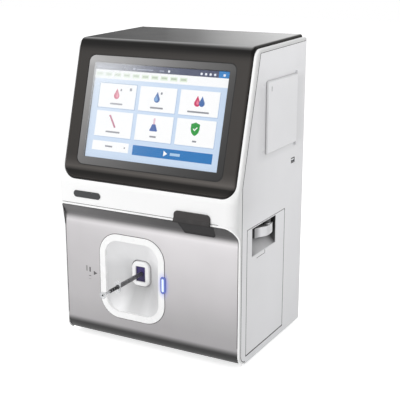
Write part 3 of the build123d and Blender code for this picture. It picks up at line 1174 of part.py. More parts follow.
INLET_FLANGE = 2.5
INLET_DEEP = 28.0
PLUG_X = (84.75, 109.25)
PLUG_H = (31.75, 48.25)
PLUG_DEEP = 17.0
BLADE_SPREAD = 7.0
ROCKER_X = (54.0, 70.0)
ROCKER_H = (31.0, 49.0)
ROCKER_PIVOT = (4.0, 40.0)
ROCKER_PIN = 1.2
ROCKER_TURN = 8.0
with BuildPart() as power_inlet:
    block((INLET_X[0] - INLET_LAP, INLET_X[1] + INLET_LAP), (-INLET_FLANGE, 0),
          (INLET_H[0] - 3, INLET_H[1] + 3))
    fillet(power_inlet.edges().filter_by(Axis.Y), 3.0)
    block(INLET_X, (0, INLET_DEEP), INLET_H)
    block(PLUG_X, (-INLET_FLANGE - 1, PLUG_DEEP), PLUG_H, mode=Mode.SUBTRACT)
    block(ROCKER_X, (-INLET_FLANGE - 1, 12), ROCKER_H, mode=Mode.SUBTRACT)
    rod_across(*ROCKER_PIVOT, ROCKER_PIN + 0.06, (ROCKER_X[0] - 1.8, ROCKER_X[1] + 1.8), mode=Mode.SUBTRACT)
    plug_mid = ((PLUG_X[0] + PLUG_X[1]) / 2, (PLUG_H[0] + PLUG_H[1]) / 2)
    for side, lift in ((-1, -1.5), (0, 2.5), (1, -1.5)):
        blade_x = plug_mid[0] + side * BLADE_SPREAD
        blade_h = plug_mid[1] + lift
        block((blade_x - 1, blade_x + 1), (0, PLUG_DEEP), (blade_h - 2, blade_h + 2))
save(power_inlet.part, "power_inlet")

with BuildPart() as power_rocker:
    turned = Plane(origin=at(ROCKER_X[1] - GAP, *ROCKER_PIVOT), x_dir=(0, -1, 0), z_dir=(-1, 0, 0))
    with BuildSketch(turned) as cam:
        with BuildLine():
            Polyline((-5.6, -7.8), (-4.2, 0), (-5.6, 7.8), (0, 7.2), (4, 3), (4, -3), (0, -7.2), close=True)
        make_face()
    tipped = cam.sketch.rotate(Axis(turned.origin, turned.z_dir), ROCKER_TURN)
    extrude(tipped, amount=ROCKER_X[1] - ROCKER_X[0] - 2 * GAP)
    rod_across(*ROCKER_PIVOT, ROCKER_PIN, (ROCKER_X[0] - 1.5, ROCKER_X[1] + 1.5))
save(power_rocker.part, "power_rocker")
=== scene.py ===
# %% [markdown]
# # A bench-top blood gas analyzer
# This lesson dresses a finished CAD model. The CAD gives every panel, hinge and slide its place, and
# stays as it is. Here each part gets its finish, and the fine pieces that CAD leaves plain are modelled:
# the picture on the display, the syringe, the screws and the fan.
# All lengths below are millimetres in the drawing's own terms: x across, d forward of the back panel,
# h above the underside of the case. One helper turns them into Blender's metres.

# %% Load the frame
from math import cos, pi, radians, sin, sqrt

import bmesh
import bpy
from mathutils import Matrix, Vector


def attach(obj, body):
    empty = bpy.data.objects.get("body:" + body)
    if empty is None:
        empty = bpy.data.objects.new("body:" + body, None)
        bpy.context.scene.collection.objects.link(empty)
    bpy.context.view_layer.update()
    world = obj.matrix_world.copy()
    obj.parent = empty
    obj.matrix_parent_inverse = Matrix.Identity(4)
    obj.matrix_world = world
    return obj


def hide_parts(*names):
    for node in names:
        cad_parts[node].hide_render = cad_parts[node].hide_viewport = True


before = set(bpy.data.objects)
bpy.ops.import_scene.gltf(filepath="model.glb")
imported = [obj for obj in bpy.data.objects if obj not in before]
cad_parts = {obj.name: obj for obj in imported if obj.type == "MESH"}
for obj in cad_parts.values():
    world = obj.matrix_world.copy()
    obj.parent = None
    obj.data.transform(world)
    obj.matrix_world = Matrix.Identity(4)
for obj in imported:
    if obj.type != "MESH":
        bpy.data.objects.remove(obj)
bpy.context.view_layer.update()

# %% [markdown]
# ## Places
# A drawing is easier to read in the maker's terms than in a scene's. `spot` gives a point of the case,
# and `on_screen` a point of the tilted screen: u across, v up the slope, lift out of the surface.

# %% Places on the case and on the screen
MM = 0.001
BACK_Y = 143.5
FOOT_H = 7.0
TILT = radians(16.0)
SCREEN_D, SCREEN_H = 218.0, 262.0


def spot(x, d, h):
    return Vector((x, BACK_Y - d, FOOT_H + h)) * MM


def on_screen(u, v, lift=0.0):
    d = SCREEN_D + lift * cos(TILT) - v * sin(TILT)
    h = SCREEN_H + lift * sin(TILT) + v * cos(TILT)
    return spot(u, d, h)


def on_front(d):
    """A drawing board that faces forward at depth d: u is x, v is h."""
    return lambda u, v, lift=0.0: spot(u, d + lift, v)


def on_side(x):
    """A drawing board on the right side at x: u is d, v is h, lift goes outwards."""
    return lambda u, v, lift=0.0: spot(x + lift, u, v)


print("screen's foot at", [round(c, 4) for c in on_screen(0, 0)])

# %% [markdown]
# ## Making and placing a mesh
# Every new piece passes through one helper: it makes the object, gives it a material, and tells the
# frame which moving body it rides on.

# %% One helper for new pieces
def piece(name, vertices, faces, material, body="chassis", slot=None, smooth=True, replaces=()):
    mesh = bpy.data.meshes.new(name)
    mesh.from_pydata([tuple(v) for v in vertices], [], faces)
    tidy = bmesh.new()
    tidy.from_mesh(mesh)
    bmesh.ops.remove_doubles(tidy, verts=tidy.verts, dist=1e-7)
    bmesh.ops.recalc_face_normals(tidy, faces=tidy.faces)
    tidy.to_mesh(mesh)
    tidy.free()
    mesh.materials.append(material)
    if smooth:
        mesh.shade_smooth()
    made = bpy.data.objects.new(name, mesh)
    bpy.context.scene.collection.objects.link(made)
    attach(made, body)
    if replaces:
        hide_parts(*replaces)
    return made


def bevel(made, width, segments=2, angle=35.0):
    """Rounds the sharp edges, as a mould or a file would."""
    step = made.modifiers.new("rounding", "BEVEL")
    step.width = width * MM
    step.segments = segments
    step.limit_method = "ANGLE"
    step.angle_limit = radians(angle)
    step.harden_normals = False
    return made


def join_shapes(shapes):
    """Puts several (vertices, faces) together as one."""
    vertices, faces = [], []
    for shape_vertices, shape_faces in shapes:
        start = len(vertices)
        vertices += list(shape_vertices)
        faces += [[start + i for i in face] for face in shape_faces]
    return vertices, faces


# %% Flat shapes and turned shapes
def slab(board, outline, low, high):
    """A flat shape drawn on a board, from one lift to another."""
    count = len(outline)
    vertices = [board(u, v, low) for u, v in outline] + [board(u, v, high) for u, v in outline]
    sides = [[i, (i + 1) % count, count + (i + 1) % count, count + i] for i in range(count)]
    return vertices, [list(range(count))[::-1], [count + i for i in range(count)]] + sides


def rounded(width, height, radius, middle=(0.0, 0.0), steps=8):
    """Outline of a rectangle with round corners."""
    points = []
    for corner, (sx, sy) in enumerate(((1, 1), (-1, 1), (-1, -1), (1, -1))):
        cx = middle[0] + sx * (width / 2 - radius)
        cy = middle[1] + sy * (height / 2 - radius)
        for i in range(steps + 1):
            angle = pi / 2 * (corner + i / steps)
            points.append((cx + radius * cos(angle), cy + radius * sin(angle)))
    return points


def turned(profile, origin, axis, steps=48, start=Vector((0, 0, 1))):
    """A turned shape: the profile holds (distance along the axis, radius) pairs, closed at both ends."""
    axis = Vector(axis).normalized()
    side = axis.cross(start if abs(axis.dot(start)) < 0.9 else Vector((1, 0, 0))).normalized()
    up = axis.cross(side)
    vertices, faces = [], []
    for along, radius in profile:
        for i in range(steps):
            angle = 2 * pi * i / steps
            vertices.append(origin + (axis * along + (side * cos(angle) + up * sin(angle)) * radius) * MM)
    for ring in range(len(profile) - 1):
        for i in range(steps):
            a, b = ring * steps + i, ring * steps + (i + 1) % steps
            faces.append([a, b, b + steps, a + steps])
    faces.append(list(range(steps))[::-1])
    faces.append([(len(profile) - 1) * steps + i for i in range(steps)])
    return vertices, faces


print("helpers ready: piece, bevel, slab, rounded, turned")

# %% [markdown]
# ## Finishes
# Real plastic and paint are never one flat colour. A moulded case has a spark-eroded grain of about a
# third of a millimetre, a slow drift in shade over a hand's width, and a gloss that changes where it was
# wiped. One recipe makes this for every finish: a fine noise for the bump, a slow one for the shade, and
# a third for the gloss. What is the same all over is set on the shader itself.

# %% The recipe for a moulded or painted surface
def node(tree, kind, **inputs):
    made = tree.nodes.new(kind)
    for key, value in inputs.items():
        made.inputs[key.replace("_", " ")].default_value = value
    return made


def noise(tree, place, size, detail=3.0, stretch=(1, 1, 1)):
    """Noise with features of a size in millimetres."""
    scale = 1.0 / (size * MM)
    spread = tree.nodes.new("ShaderNodeMapping")
    spread.inputs["Scale"].default_value = [scale * s for s in stretch]
    made = node(tree, "ShaderNodeTexNoise", Scale=1.0, Detail=detail)
    tree.links.new(place.outputs["Object"], spread.inputs["Vector"])
    tree.links.new(spread.outputs["Vector"], made.inputs["Vector"])
    return made


def spread_range(tree, source, low, high):
    made = tree.nodes.new("ShaderNodeMapRange")
    made.inputs["From Min"].default_value = 0.3
    made.inputs["From Max"].default_value = 0.7
    made.inputs["To Min"].default_value = low
    made.inputs["To Max"].default_value = high
    tree.links.new(source, made.inputs["Value"])
    return made.outputs["Result"]


def srgb(r, g, b):
    """Colour as a paint chart gives it, 0 to 255, turned into linear light."""
    return tuple((c / 255 / 12.92) if c <= 10 else ((c / 255 + 0.055) / 1.055) ** 2.4 for c in (r, g, b))


def shade(colour, factor):
    return (*[min(1.0, c * factor) for c in colour], 1.0)


def finish(name, colour, rough, grain=0.35, depth=0.02, drift=0.04, drift_size=60.0, metal=0.0,
           rough_drift=0.06, stretch=(1, 1, 1), specular=0.5, coat=0.0, detail=3.0):
    """A surface with grain (mm), bump depth (mm), drifting shade and drifting gloss."""
    made = bpy.data.materials.new(name)
    made.use_nodes = True
    tree = made.node_tree
    skin = tree.nodes["Principled BSDF"]
    place = tree.nodes.new("ShaderNodeTexCoord")
    slow = noise(tree, place, drift_size, 2.0, stretch)
    mix = tree.nodes.new("ShaderNodeMix")
    mix.data_type = "RGBA"
    mix.inputs["A"].default_value = shade(colour, 1 - drift)
    mix.inputs["B"].default_value = shade(colour, 1 + drift)
    tree.links.new(spread_range(tree, slow.outputs["Fac"], 0.0, 1.0), mix.inputs["Factor"])
    tree.links.new(mix.outputs["Result"], skin.inputs["Base Color"])
    wiped = noise(tree, place, drift_size * 0.4, 4.0, stretch)
    tree.links.new(spread_range(tree, wiped.outputs["Fac"], max(0.02, rough - rough_drift), rough + rough_drift),
                   skin.inputs["Roughness"])
    fine = noise(tree, place, grain, detail, stretch)
    bump = node(tree, "ShaderNodeBump", Strength=1.0, Distance=depth * MM)
    tree.links.new(fine.outputs["Fac"], bump.inputs["Height"])
    tree.links.new(bump.outputs["Normal"], skin.inputs["Normal"])
    skin.inputs["Metallic"].default_value = metal
    skin.inputs["Specular IOR Level"].default_value = specular
    skin.inputs["Coat Weight"].default_value = coat
    return made


# %% Finishes of the case
cover_finish = finish("charcoal_moulding", srgb(96, 92, 89), 0.42, grain=0.5, depth=0.006, drift=0.02,
                      drift_size=120, specular=0.12, rough_drift=0.015)
frame_finish = finish("white_moulding", srgb(246, 246, 246), 0.4, grain=0.5, depth=0.005, drift=0.008, drift_size=90)
side_finish = finish("grey_powder_coat", srgb(237, 237, 239), 0.55, grain=0.8, depth=0.01, drift=0.01, drift_size=80)
door_finish = finish("door_powder_coat", srgb(237, 237, 239), 0.55, grain=0.8, depth=0.01, drift=0.01, drift_size=80)
front_skin = finish("drawer_powder_coat", srgb(237, 237, 239), 0.55, grain=0.8, depth=0.01, drift=0.01, drift_size=80)
trim_finish = finish("dark_trim", srgb(58, 55, 55), 0.5, grain=0.4, depth=0.008, drift=0.05, drift_size=20,
                     specular=0.25)
lever_finish = finish("satin_lever", srgb(232, 232, 234), 0.32, grain=0.3, depth=0.004, drift=0.02, drift_size=30,
                      metal=0.6)
ring_finish = finish("white_gloss_moulding", srgb(248, 248, 248), 0.28, grain=1.5, depth=0.004, drift=0.01)
bead_finish = finish("white_bead", srgb(252, 252, 252), 0.3, grain=1.0, depth=0.002, drift=0.01)
funnel_finish = finish("funnel_moulding", srgb(250, 250, 251), 0.45, grain=0.6, depth=0.006, drift=0.01)
# Dark colour for painted shade in shut lines, grooves and the door's notch.
painted_shade_finish = finish("seam_shade_line", srgb(52, 50, 51), 0.7, grain=0.4, depth=0.01, drift=0.1, drift_size=8,
                       specular=0.2)
seal_finish = finish("violet_rubber", srgb(58, 46, 104), 0.6, grain=0.3, depth=0.02, drift=0.18, drift_size=5)
smoke_finish = finish("smoked_window", srgb(40, 39, 40), 0.35, grain=2.0, depth=0.002, drift=0.05, specular=0.2)
rubber_finish = finish("black_rubber", srgb(38, 38, 38), 0.75, grain=0.4, depth=0.03, drift=0.12, drift_size=6)
print("case finishes:", len(bpy.data.materials))

# %% Finishes of the works inside
steel_finish = finish("folded_steel", srgb(168, 170, 172), 0.36, grain=0.25, depth=0.01, drift=0.05, metal=1.0,
                      stretch=(1, 1, 14), drift_size=40)
bright_finish = finish("ground_steel", srgb(196, 197, 199), 0.2, grain=0.2, depth=0.004, drift=0.04, metal=1.0,
                       stretch=(1, 8, 1), drift_size=25)
alloy_finish = finish("cast_alloy", srgb(176, 178, 182), 0.42, grain=0.6, depth=0.03, drift=0.05, metal=1.0)
body_finish = finish("ivory_moulding", srgb(206, 208, 212), 0.5, grain=0.4, depth=0.012, drift=0.03, drift_size=30)
tube_finish = finish("silicone_tube", srgb(206, 198, 178), 0.35, grain=0.8, depth=0.01, drift=0.05, drift_size=8)
socket_finish = finish("socket_black", srgb(36, 37, 40), 0.4, grain=0.35, depth=0.012, drift=0.1, drift_size=10)
board_finish = finish("solder_mask", srgb(24, 86, 46), 0.35, grain=1.2, depth=0.03, drift=0.22, drift_size=7,
                      coat=0.3)
motor_finish = finish("black_enamel", srgb(44, 45, 48), 0.35, grain=0.5, depth=0.01, drift=0.08, drift_size=15)
paper_finish = finish("thermal_paper", srgb(240, 239, 232), 0.7, grain=0.12, depth=0.015, drift=0.02, drift_size=4,
                      stretch=(1, 1, 0.05))
print("all finishes:", len(bpy.data.materials))

# %% [markdown]
# ## Painted light and shade along the case
# A large soft light never falls evenly on a case: it fades along a flank, gathers in a line over a bend
# and dies in a pocket. The finishes below carry that fall as painted shade and painted highlights: grey
# ramps that multiply their colour. Each ramp runs from one point of the case to another, and a mask can
# keep it to one part of the surface.

# %% Ramps and masks
def grey_ramp(tree, start, end, stops):
    """Grey level that runs from one point of the case to another."""
    reach = end - start
    place = tree.nodes.new("ShaderNodeTexCoord")
    shift = tree.nodes.new("ShaderNodeVectorMath")
    shift.operation = "SUBTRACT"
    shift.inputs[1].default_value = start
    along = tree.nodes.new("ShaderNodeVectorMath")
    along.operation = "DOT_PRODUCT"
    along.inputs[1].default_value = reach / reach.length_squared
    ramp = tree.nodes.new("ShaderNodeValToRGB")
    ramp.color_ramp.elements[0].position = stops[0][0]
    ramp.color_ramp.elements[0].color = shade((1, 1, 1), stops[0][1])
    ramp.color_ramp.elements[1].position = stops[-1][0]
    ramp.color_ramp.elements[1].color = shade((1, 1, 1), stops[-1][1])
    for position, level in stops[1:-1]:
        ramp.color_ramp.elements.new(position).color = shade((1, 1, 1), level)
    tree.links.new(place.outputs["Object"], shift.inputs[0])
    tree.links.new(shift.outputs["Vector"], along.inputs[0])
    tree.links.new(along.outputs["Value"], ramp.inputs["Fac"])
    return ramp.outputs["Color"]


def stops_between(low, high, levels):
    """Ramp stops from (place in mm, level) pairs."""
    return [((at - low) / (high - low), level) for at, level in levels]


def mixed(tree, factor, one, other, blend="MIX"):
    """Mixes two colours; the factor and each colour may be a value or a socket."""
    mix = tree.nodes.new("ShaderNodeMix")
    mix.data_type = "RGBA"
    mix.blend_type = blend
    for key, value in (("Factor", factor), ("A", one), ("B", other)):
        if isinstance(value, bpy.types.NodeSocket):
            tree.links.new(value, mix.inputs[key])
        else:
            mix.inputs[key].default_value = value
    return mix.outputs["Result"]


def tone(material, grey, mask=None):
    """Paints light or shade into a finish: multiplies its base colour by a grey level, where the mask is white."""
    tree = material.node_tree
    skin = tree.nodes["Principled BSDF"]
    source = skin.inputs["Base Color"].links[0].from_socket
    if mask:
        grey = mixed(tree, mask, (1, 1, 1, 1), grey)
    tree.links.new(mixed(tree, 1.0, source, grey, "MULTIPLY"), skin.inputs["Base Color"])


def ramp_x(tree, levels):
    low, high = levels[0][0], levels[-1][0]
    return grey_ramp(tree, spot(low, 0, 0), spot(high, 0, 0), stops_between(low, high, levels))


def ramp_d(tree, levels):
    low, high = levels[0][0], levels[-1][0]
    return grey_ramp(tree, spot(0, low, 0), spot(0, high, 0), stops_between(low, high, levels))


def ramp_h(tree, levels):
    low, high = levels[0][0], levels[-1][0]
    return grey_ramp(tree, spot(0, 0, low), spot(0, 0, high), stops_between(low, high, levels))


print("ramps ready")

# %% [markdown]
# ## The silver front panel
# The panel is sheet metal with a fine metallic lacquer. Its top slope and its rolled foot turn away from
# the light, and their shade is painted into its colour as dark bands. The flat between them carries
# painted shade that falls off downwards, faster on the right than on the left, with a painted light line
# at its top, so it has two ramps over the height and one across that blends them.

# %% Silver lacquer with painted shade on its slope and its rolled foot
silver_finish = finish("silver_lacquer", srgb(224, 221, 223), 0.4, grain=0.25, depth=0.006, drift=0.02,
                       drift_size=70, metal=0.35)
SILVER_SHADE_RIGHT = ((0, 0.02), (17, 0.025), (20, 0.11), (23, 0.28), (26, 0.45), (40, 0.46), (60, 0.515), (80, 0.588),
                (100, 0.653), (120, 0.706), (140, 0.761), (160, 0.812), (171, 0.85), (176, 0.88), (180, 0.95),
                (184, 0.74), (187, 0.38), (190, 0.14), (194, 0.08), (206, 0.07))
SILVER_SHADE_LEFT = ((0, 0.02), (17, 0.03), (20, 0.13), (23, 0.32), (26, 0.49), (40, 0.51), (60, 0.56), (80, 0.575),
               (100, 0.59), (120, 0.62), (140, 0.635), (160, 0.65), (171, 0.67), (176, 0.71), (180, 0.79),
               (184, 0.6), (187, 0.34), (190, 0.18), (194, 0.14), (206, 0.15))
silver_tree = silver_finish.node_tree
# Painted shade: dark bands on the slope and the rolled foot, and a fall downwards over the flat.
silver_side = ramp_x(silver_tree, ((-120, 0.0), (40, 1.0)))
tone(silver_finish, mixed(silver_tree, silver_side, ramp_h(silver_tree, SILVER_SHADE_LEFT),
                          ramp_h(silver_tree, SILVER_SHADE_RIGHT)))
print("silver ramps:", len(SILVER_SHADE_RIGHT), "stops each")

# %% [markdown]
# The dark cover isn't one even tone either, for light and shade are painted into it. Its foot turns under,
# so it is painted darkest below a painted soft light line, its upper bend is a painted dark line, and a
# painted highlight runs along the roof's front edge. The roof is smoother than the front: seen at a flat
# angle it mirrors the bright room, more and more towards its rear right corner, through a rise in its
# gloss and coat and through a painted reflection that lightens its colour.

# %% Painted shade, highlight and reflection of the cover
cover_tree = cover_finish.node_tree
cover_skin = cover_tree.nodes["Principled BSDF"]
FOOT_SHADE_V = (-14.0, 20.0)
FOOT_SHADE_LEVELS = ((-14, 0.5), (-12, 0.36), (-9, 0.2), (-6, 0.13), (-3, 0.12), (0, 0.6), (3, 1.0), (6, 0.85), (12, 0.6), (20, 0.47))
# Painted shade under the turned-under foot, with a painted light line above it.
tone(cover_finish, grey_ramp(cover_tree, on_screen(0, FOOT_SHADE_V[0]), on_screen(0, FOOT_SHADE_V[1]),
                             stops_between(*FOOT_SHADE_V, FOOT_SHADE_LEVELS)))
# Painted dark line over the upper bend.
tone(cover_finish, ramp_h(cover_tree, ((422, 1.0), (427, 0.94), (431, 0.74), (434, 0.42), (438, 0.14), (442, 0.14), (447, 1.0))))
# Painted shade, darker towards the left, and a painted dark line along the right edge.
tone(cover_finish, ramp_x(cover_tree, ((-141.5, 0.72), (0, 0.84), (137, 1.0), (139.3, 0.95), (140.6, 0.35), (141.5, 0.25))))
roof_flat = ramp_h(cover_tree, ((441, 0.0), (446, 1.0)))
roof_inner = ramp_x(cover_tree, ((137.2, 1.0), (140.0, 0.0)))
roof_mask = mixed(cover_tree, 1.0, roof_flat, roof_inner, "MULTIPLY")
ROOF_ENDS = (spot(-125, 150, 447), spot(125, 0, 447))
mirror = grey_ramp(cover_tree, *ROOF_ENDS, ((0.0, 0.02), (0.35, 0.05), (0.53, 0.22), (0.7, 0.55), (1.0, 0.8)))
varnish = grey_ramp(cover_tree, *ROOF_ENDS, ((0.0, 0.0), (0.5, 0.0), (0.7, 0.35), (1.0, 0.85)))
# Painted reflection: the roof's colour lightens towards its rear right corner.
pale = grey_ramp(cover_tree, *ROOF_ENDS, ((0.0, 0.03), (0.35, 0.035), (0.55, 0.06), (0.75, 0.12), (1.0, 0.27)))
cover_tree.links.new(mixed(cover_tree, roof_mask, (0.07, 0.07, 0.07, 1), mirror),
                     cover_skin.inputs["Specular IOR Level"])
cover_tree.links.new(mixed(cover_tree, roof_mask, (0, 0, 0, 1), varnish), cover_skin.inputs["Coat Weight"])
cover_source = cover_skin.inputs["Base Color"].links[0].from_socket
roofed = mixed(cover_tree, roof_mask, cover_source, pale)
# Painted highlight: a light line along the roof's front edge.
painted_edge_highlight = ramp_d(cover_tree, ((156.5, 0.0), (159.5, 1.0), (161.5, 1.0), (164.5, 0.0)))
brow_mask = mixed(cover_tree, 1.0, painted_edge_highlight, roof_mask, "MULTIPLY")
cover_tree.links.new(mixed(cover_tree, brow_mask, roofed, (0.26, 0.26, 0.26, 1)), cover_skin.inputs["Base Color"])
print("cover toned")

# %% [markdown]
# The white frame carries painted shade that falls off towards its right edge and flank, and one painted
# bright line beside the screen. The sides' paint carries painted shade too: a little lighter above and
# behind, and darker round the raised door. The drawer's grip pocket is painted dark under its roof and in
# its corners and light at its foot; a mask keeps that to the recess, behind the drawer's face. The funnel
# has a painted fall of shade of its own on each wall.

# %% Painted shade of the frame and the sides
frame_tree = frame_finish.node_tree
BAND_SHADE = ((128, 1.0), (135, 0.955), (140, 0.87), (143, 0.8), (146, 0.74), (148.5, 0.72))
SLOPE_LIGHT_AND_SHADE = ((139, 0.97), (144.5, 1.0), (146.2, 0.86), (148.5, 0.7))
# Painted shade towards the frame's right edge and flank, with a painted bright line on the slope beside the screen.
upper = ramp_h(frame_tree, ((248, 0.0), (266, 1.0)))
tone(frame_finish, mixed(frame_tree, upper, ramp_x(frame_tree, BAND_SHADE), ramp_x(frame_tree, SLOPE_LIGHT_AND_SHADE)))

HEIGHT_SHADE = ((0, 0.83), (90, 0.86), (200, 0.9), (250, 0.91), (320, 0.92), (380, 0.94), (405, 0.97), (440, 1.0))
DEPTH_SHADE = ((90, 1.0), (130, 0.97), (165, 0.92), (190, 0.87), (209, 0.84))
DOOR_SHADE = ((0, 0.99), (9, 0.92), (30, 0.88), (38, 0.86), (138, 0.84), (146, 0.89), (160, 0.94), (170, 1.0))
# Painted shade: the sides, the drawer's face and the door are darker towards the bottom.
for skin_finish in (side_finish, front_skin, door_finish):
    skin_tree = skin_finish.node_tree
    tone(skin_finish, ramp_h(skin_tree, HEIGHT_SHADE))
side_tree = side_finish.node_tree
# Painted shade: the side is darker towards the front, above the drawer.
above_drawer = ramp_h(side_tree, ((195, 0.35), (235, 1.0), (400, 1.0), (420, 0.4)))
tone(side_finish, ramp_d(side_tree, DEPTH_SHADE), above_drawer)
# Painted shade round the printer door.
door_heights = ramp_h(side_tree, ((284, 0.0), (298, 1.0), (388, 1.0), (400, 0.0)))
beside_door = mixed(side_tree, 1.0, door_heights, ramp_x(side_tree, ((110, 0.0), (120, 1.0))), "MULTIPLY")
tone(side_finish, ramp_d(side_tree, DOOR_SHADE), beside_door)
# Painted shade: the drawer's face is a little darker towards the front.
tone(front_skin, ramp_d(front_skin.node_tree, ((120, 1.0), (194, 0.94))))
# Painted shade: the door's thin edge is darker than its face.
tone(door_finish, ramp_x(door_finish.node_tree, ((148.8, 0.45), (150.0, 0.7), (150.6, 0.82), (151.6, 0.88), (151.85, 1.0))))
print("frame and sides toned")

# %% Painted shade and highlights of the pocket, the lever and the funnel
pocket_tree = front_skin.node_tree
# Painted shade in the grip pocket: dark under its roof and in its corners, light at its foot.
pocket_mask = ramp_x(pocket_tree, ((120.5, 0.0), (121.2, 1.0), (147.4, 1.0), (148.2, 0.0)))
POCKET_SHADE_UP = ((153, 0.72), (157, 0.66), (160, 0.62), (163, 0.58), (166, 0.5), (169, 0.36), (172, 0.24), (176, 0.13),
             (182, 0.08), (197.2, 0.08), (197.8, 1.0))
POCKET_SHADE_ACROSS = ((97.2, 1.0), (97.8, 0.2), (99, 0.22), (104, 0.4), (108, 0.62), (116, 0.86), (132, 1.0), (150, 0.98), (162, 0.84), (170, 0.6),
                 (177.5, 0.4), (178.5, 1.0))
pocket_shade = mixed(pocket_tree, 1.0, ramp_h(pocket_tree, POCKET_SHADE_UP), ramp_d(pocket_tree, POCKET_SHADE_ACROSS), "MULTIPLY")
tone(front_skin, pocket_shade, pocket_mask)
# Painted highlights and shade in stripes along the lever.
LEVER_SHEEN_ALONG = ((100, 0.25), (104, 0.5), (106.5, 1.0), (109, 0.95), (111.5, 0.72), (118, 0.6), (124, 0.62), (128, 0.7),
               (136, 0.72), (140, 0.5), (143, 0.36), (147, 0.28), (152, 0.22), (157, 0.22), (160, 0.34), (163, 0.4),
               (165.5, 0.2), (168, 0.06))
tone(lever_finish, ramp_d(lever_finish.node_tree, LEVER_SHEEN_ALONG))
funnel_tree = funnel_finish.node_tree
# Painted shade on the funnel's walls, in three falls blended across.
WALL_SHADE_LEFT = ((42, 0.95), (50, 0.92), (60, 0.88), (70, 0.82), (80, 0.79), (103, 0.82), (113, 0.84), (120, 0.88),
             (128, 0.95), (165, 0.97))
WALL_SHADE_MID = ((42, 0.68), (50, 0.64), (60, 0.57), (70, 0.5), (80, 0.43), (103, 0.6), (120, 0.86), (128, 0.95), (165, 0.97))
WALL_SHADE_RIGHT = ((42, 0.76), (50, 0.73), (60, 0.69), (70, 0.67), (80, 0.64), (90, 0.6), (103, 0.62), (112, 0.65),
              (120, 0.72), (126, 0.78), (131, 0.88), (140, 0.93), (165, 1.0))
left_to_mid = ramp_x(funnel_tree, ((-54, 0.0), (-38, 1.0)))
mid_to_right = ramp_x(funnel_tree, ((-20, 0.0), (-8, 1.0)))
left_half = mixed(funnel_tree, left_to_mid, ramp_h(funnel_tree, WALL_SHADE_LEFT), ramp_h(funnel_tree, WALL_SHADE_MID))
tone(funnel_finish, mixed(funnel_tree, mid_to_right, left_half, ramp_h(funnel_tree, WALL_SHADE_RIGHT)))
# Painted shade: the seal is darker towards its foot.
tone(seal_finish, ramp_h(seal_finish.node_tree, ((90, 0.45), (100, 0.6), (108, 1.0))))
# Painted shade: the reader hood is darker over its lower part.
hood_tree = trim_finish.node_tree
tone(trim_finish, ramp_h(hood_tree, ((200, 0.45), (206, 0.45), (211, 0.55), (213, 1.0))))
print("pocket, lever and funnel toned")

# %% [markdown]
# ## Dressing the CAD nodes
# Where the CAD shape is already right, the node stays and only its material changes. The table below
# pairs each finish with the nodes that wear it.

# %% Give each CAD node its finish
wardrobe = {
    cover_finish: ("top_cover",),
    frame_finish: ("front_frame",),
    side_finish: ("side_panel_left", "side_panel_right", "rear_panel", "printer_hinge_pins"),
    door_finish: ("printer_door",),
    front_skin: ("drawer_front",),
    lever_finish: ("drawer_lever",),
    silver_finish: ("front_panel",),
    trim_finish: ("reader_hood",),
    socket_finish: ("badge_plate", "code_reader", "fan_frame", "fan_rotor", "usb_ports", "data_ports", "power_inlet",
                    "power_rocker"),
    ring_finish: ("port_ring", "port_collar"),
    funnel_finish: ("port_funnel",),
    seal_finish: ("port_seal",),
    smoke_finish: ("reader_window",),
    rubber_finish: ("feet", "plunger_seal", "platen_roller"),
    steel_finish: ("base_tray", "inner_shelf", "display_bracket", "drawer_cage", "drawer_rails", "probe_frame",
                   "power_supply", "drawer_runners"),
    bright_finish: ("fan_guard", "case_screws", "sampling_probe", "guide_rods", "lead_screw"),
    alloy_finish: ("measuring_block", "print_head"),
    motor_finish: ("pump_motor", "probe_motor"),
    body_finish: ("drawer_tray", "printer_body", "probe_carriage", "pump_body", "pump_rotor",
                  "sensor_cassette", "pack_manifold", "reagent_pack"),
    tube_finish: ("pump_tubes",),
    paper_finish: ("paper_roll",),
    board_finish: ("main_board",),
}
for material, names in wardrobe.items():
    for name in names:
        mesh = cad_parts[name].data
        mesh.materials.clear()
        mesh.materials.append(material)
dressed = {name for names in wardrobe.values() for name in names}
print("dressed", len(dressed), "still bare:", sorted(set(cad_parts) - dressed))

# %% [markdown]
# ## The touch glass
# The front glass is one sheet. Its border is printed dark from behind and its window is clear, so the
# sheet is built as a frame of printed glass round a clear pane; only the frame has a ground edge. The
# border is glossy, and the soft fall from light to dark that the studio's big left-hand light leaves on it
# is painted into its colour as a painted reflection.

# %% Printed border and clear pane
GLASS_V = 87.4
GLASS = (239.8, 159.8, 10.0)
VIEW = (217.0, 135.6)
VIEW_V = 88.0
GLASS_BACK, GLASS_FACE = -2.1, -0.2


def band_between(board, outer, inner, low, high):
    """A ring of even thickness between two outlines with the same number of points."""
    count = len(outer)
    vertices = []
    for lift in (low, high):
        vertices += [board(u, v, lift) for u, v in outer] + [board(u, v, lift) for u, v in inner]
    faces = []
    for i in range(count):
        j = (i + 1) % count
        faces.append([i, j, 2 * count + j, 2 * count + i])
        faces.append([count + i, 3 * count + i, 3 * count + j, count + j])
        faces.append([2 * count + i, 2 * count + j, 3 * count + j, 3 * count + i])
        faces.append([i, count + i, count + j, j])
    return vertices, faces


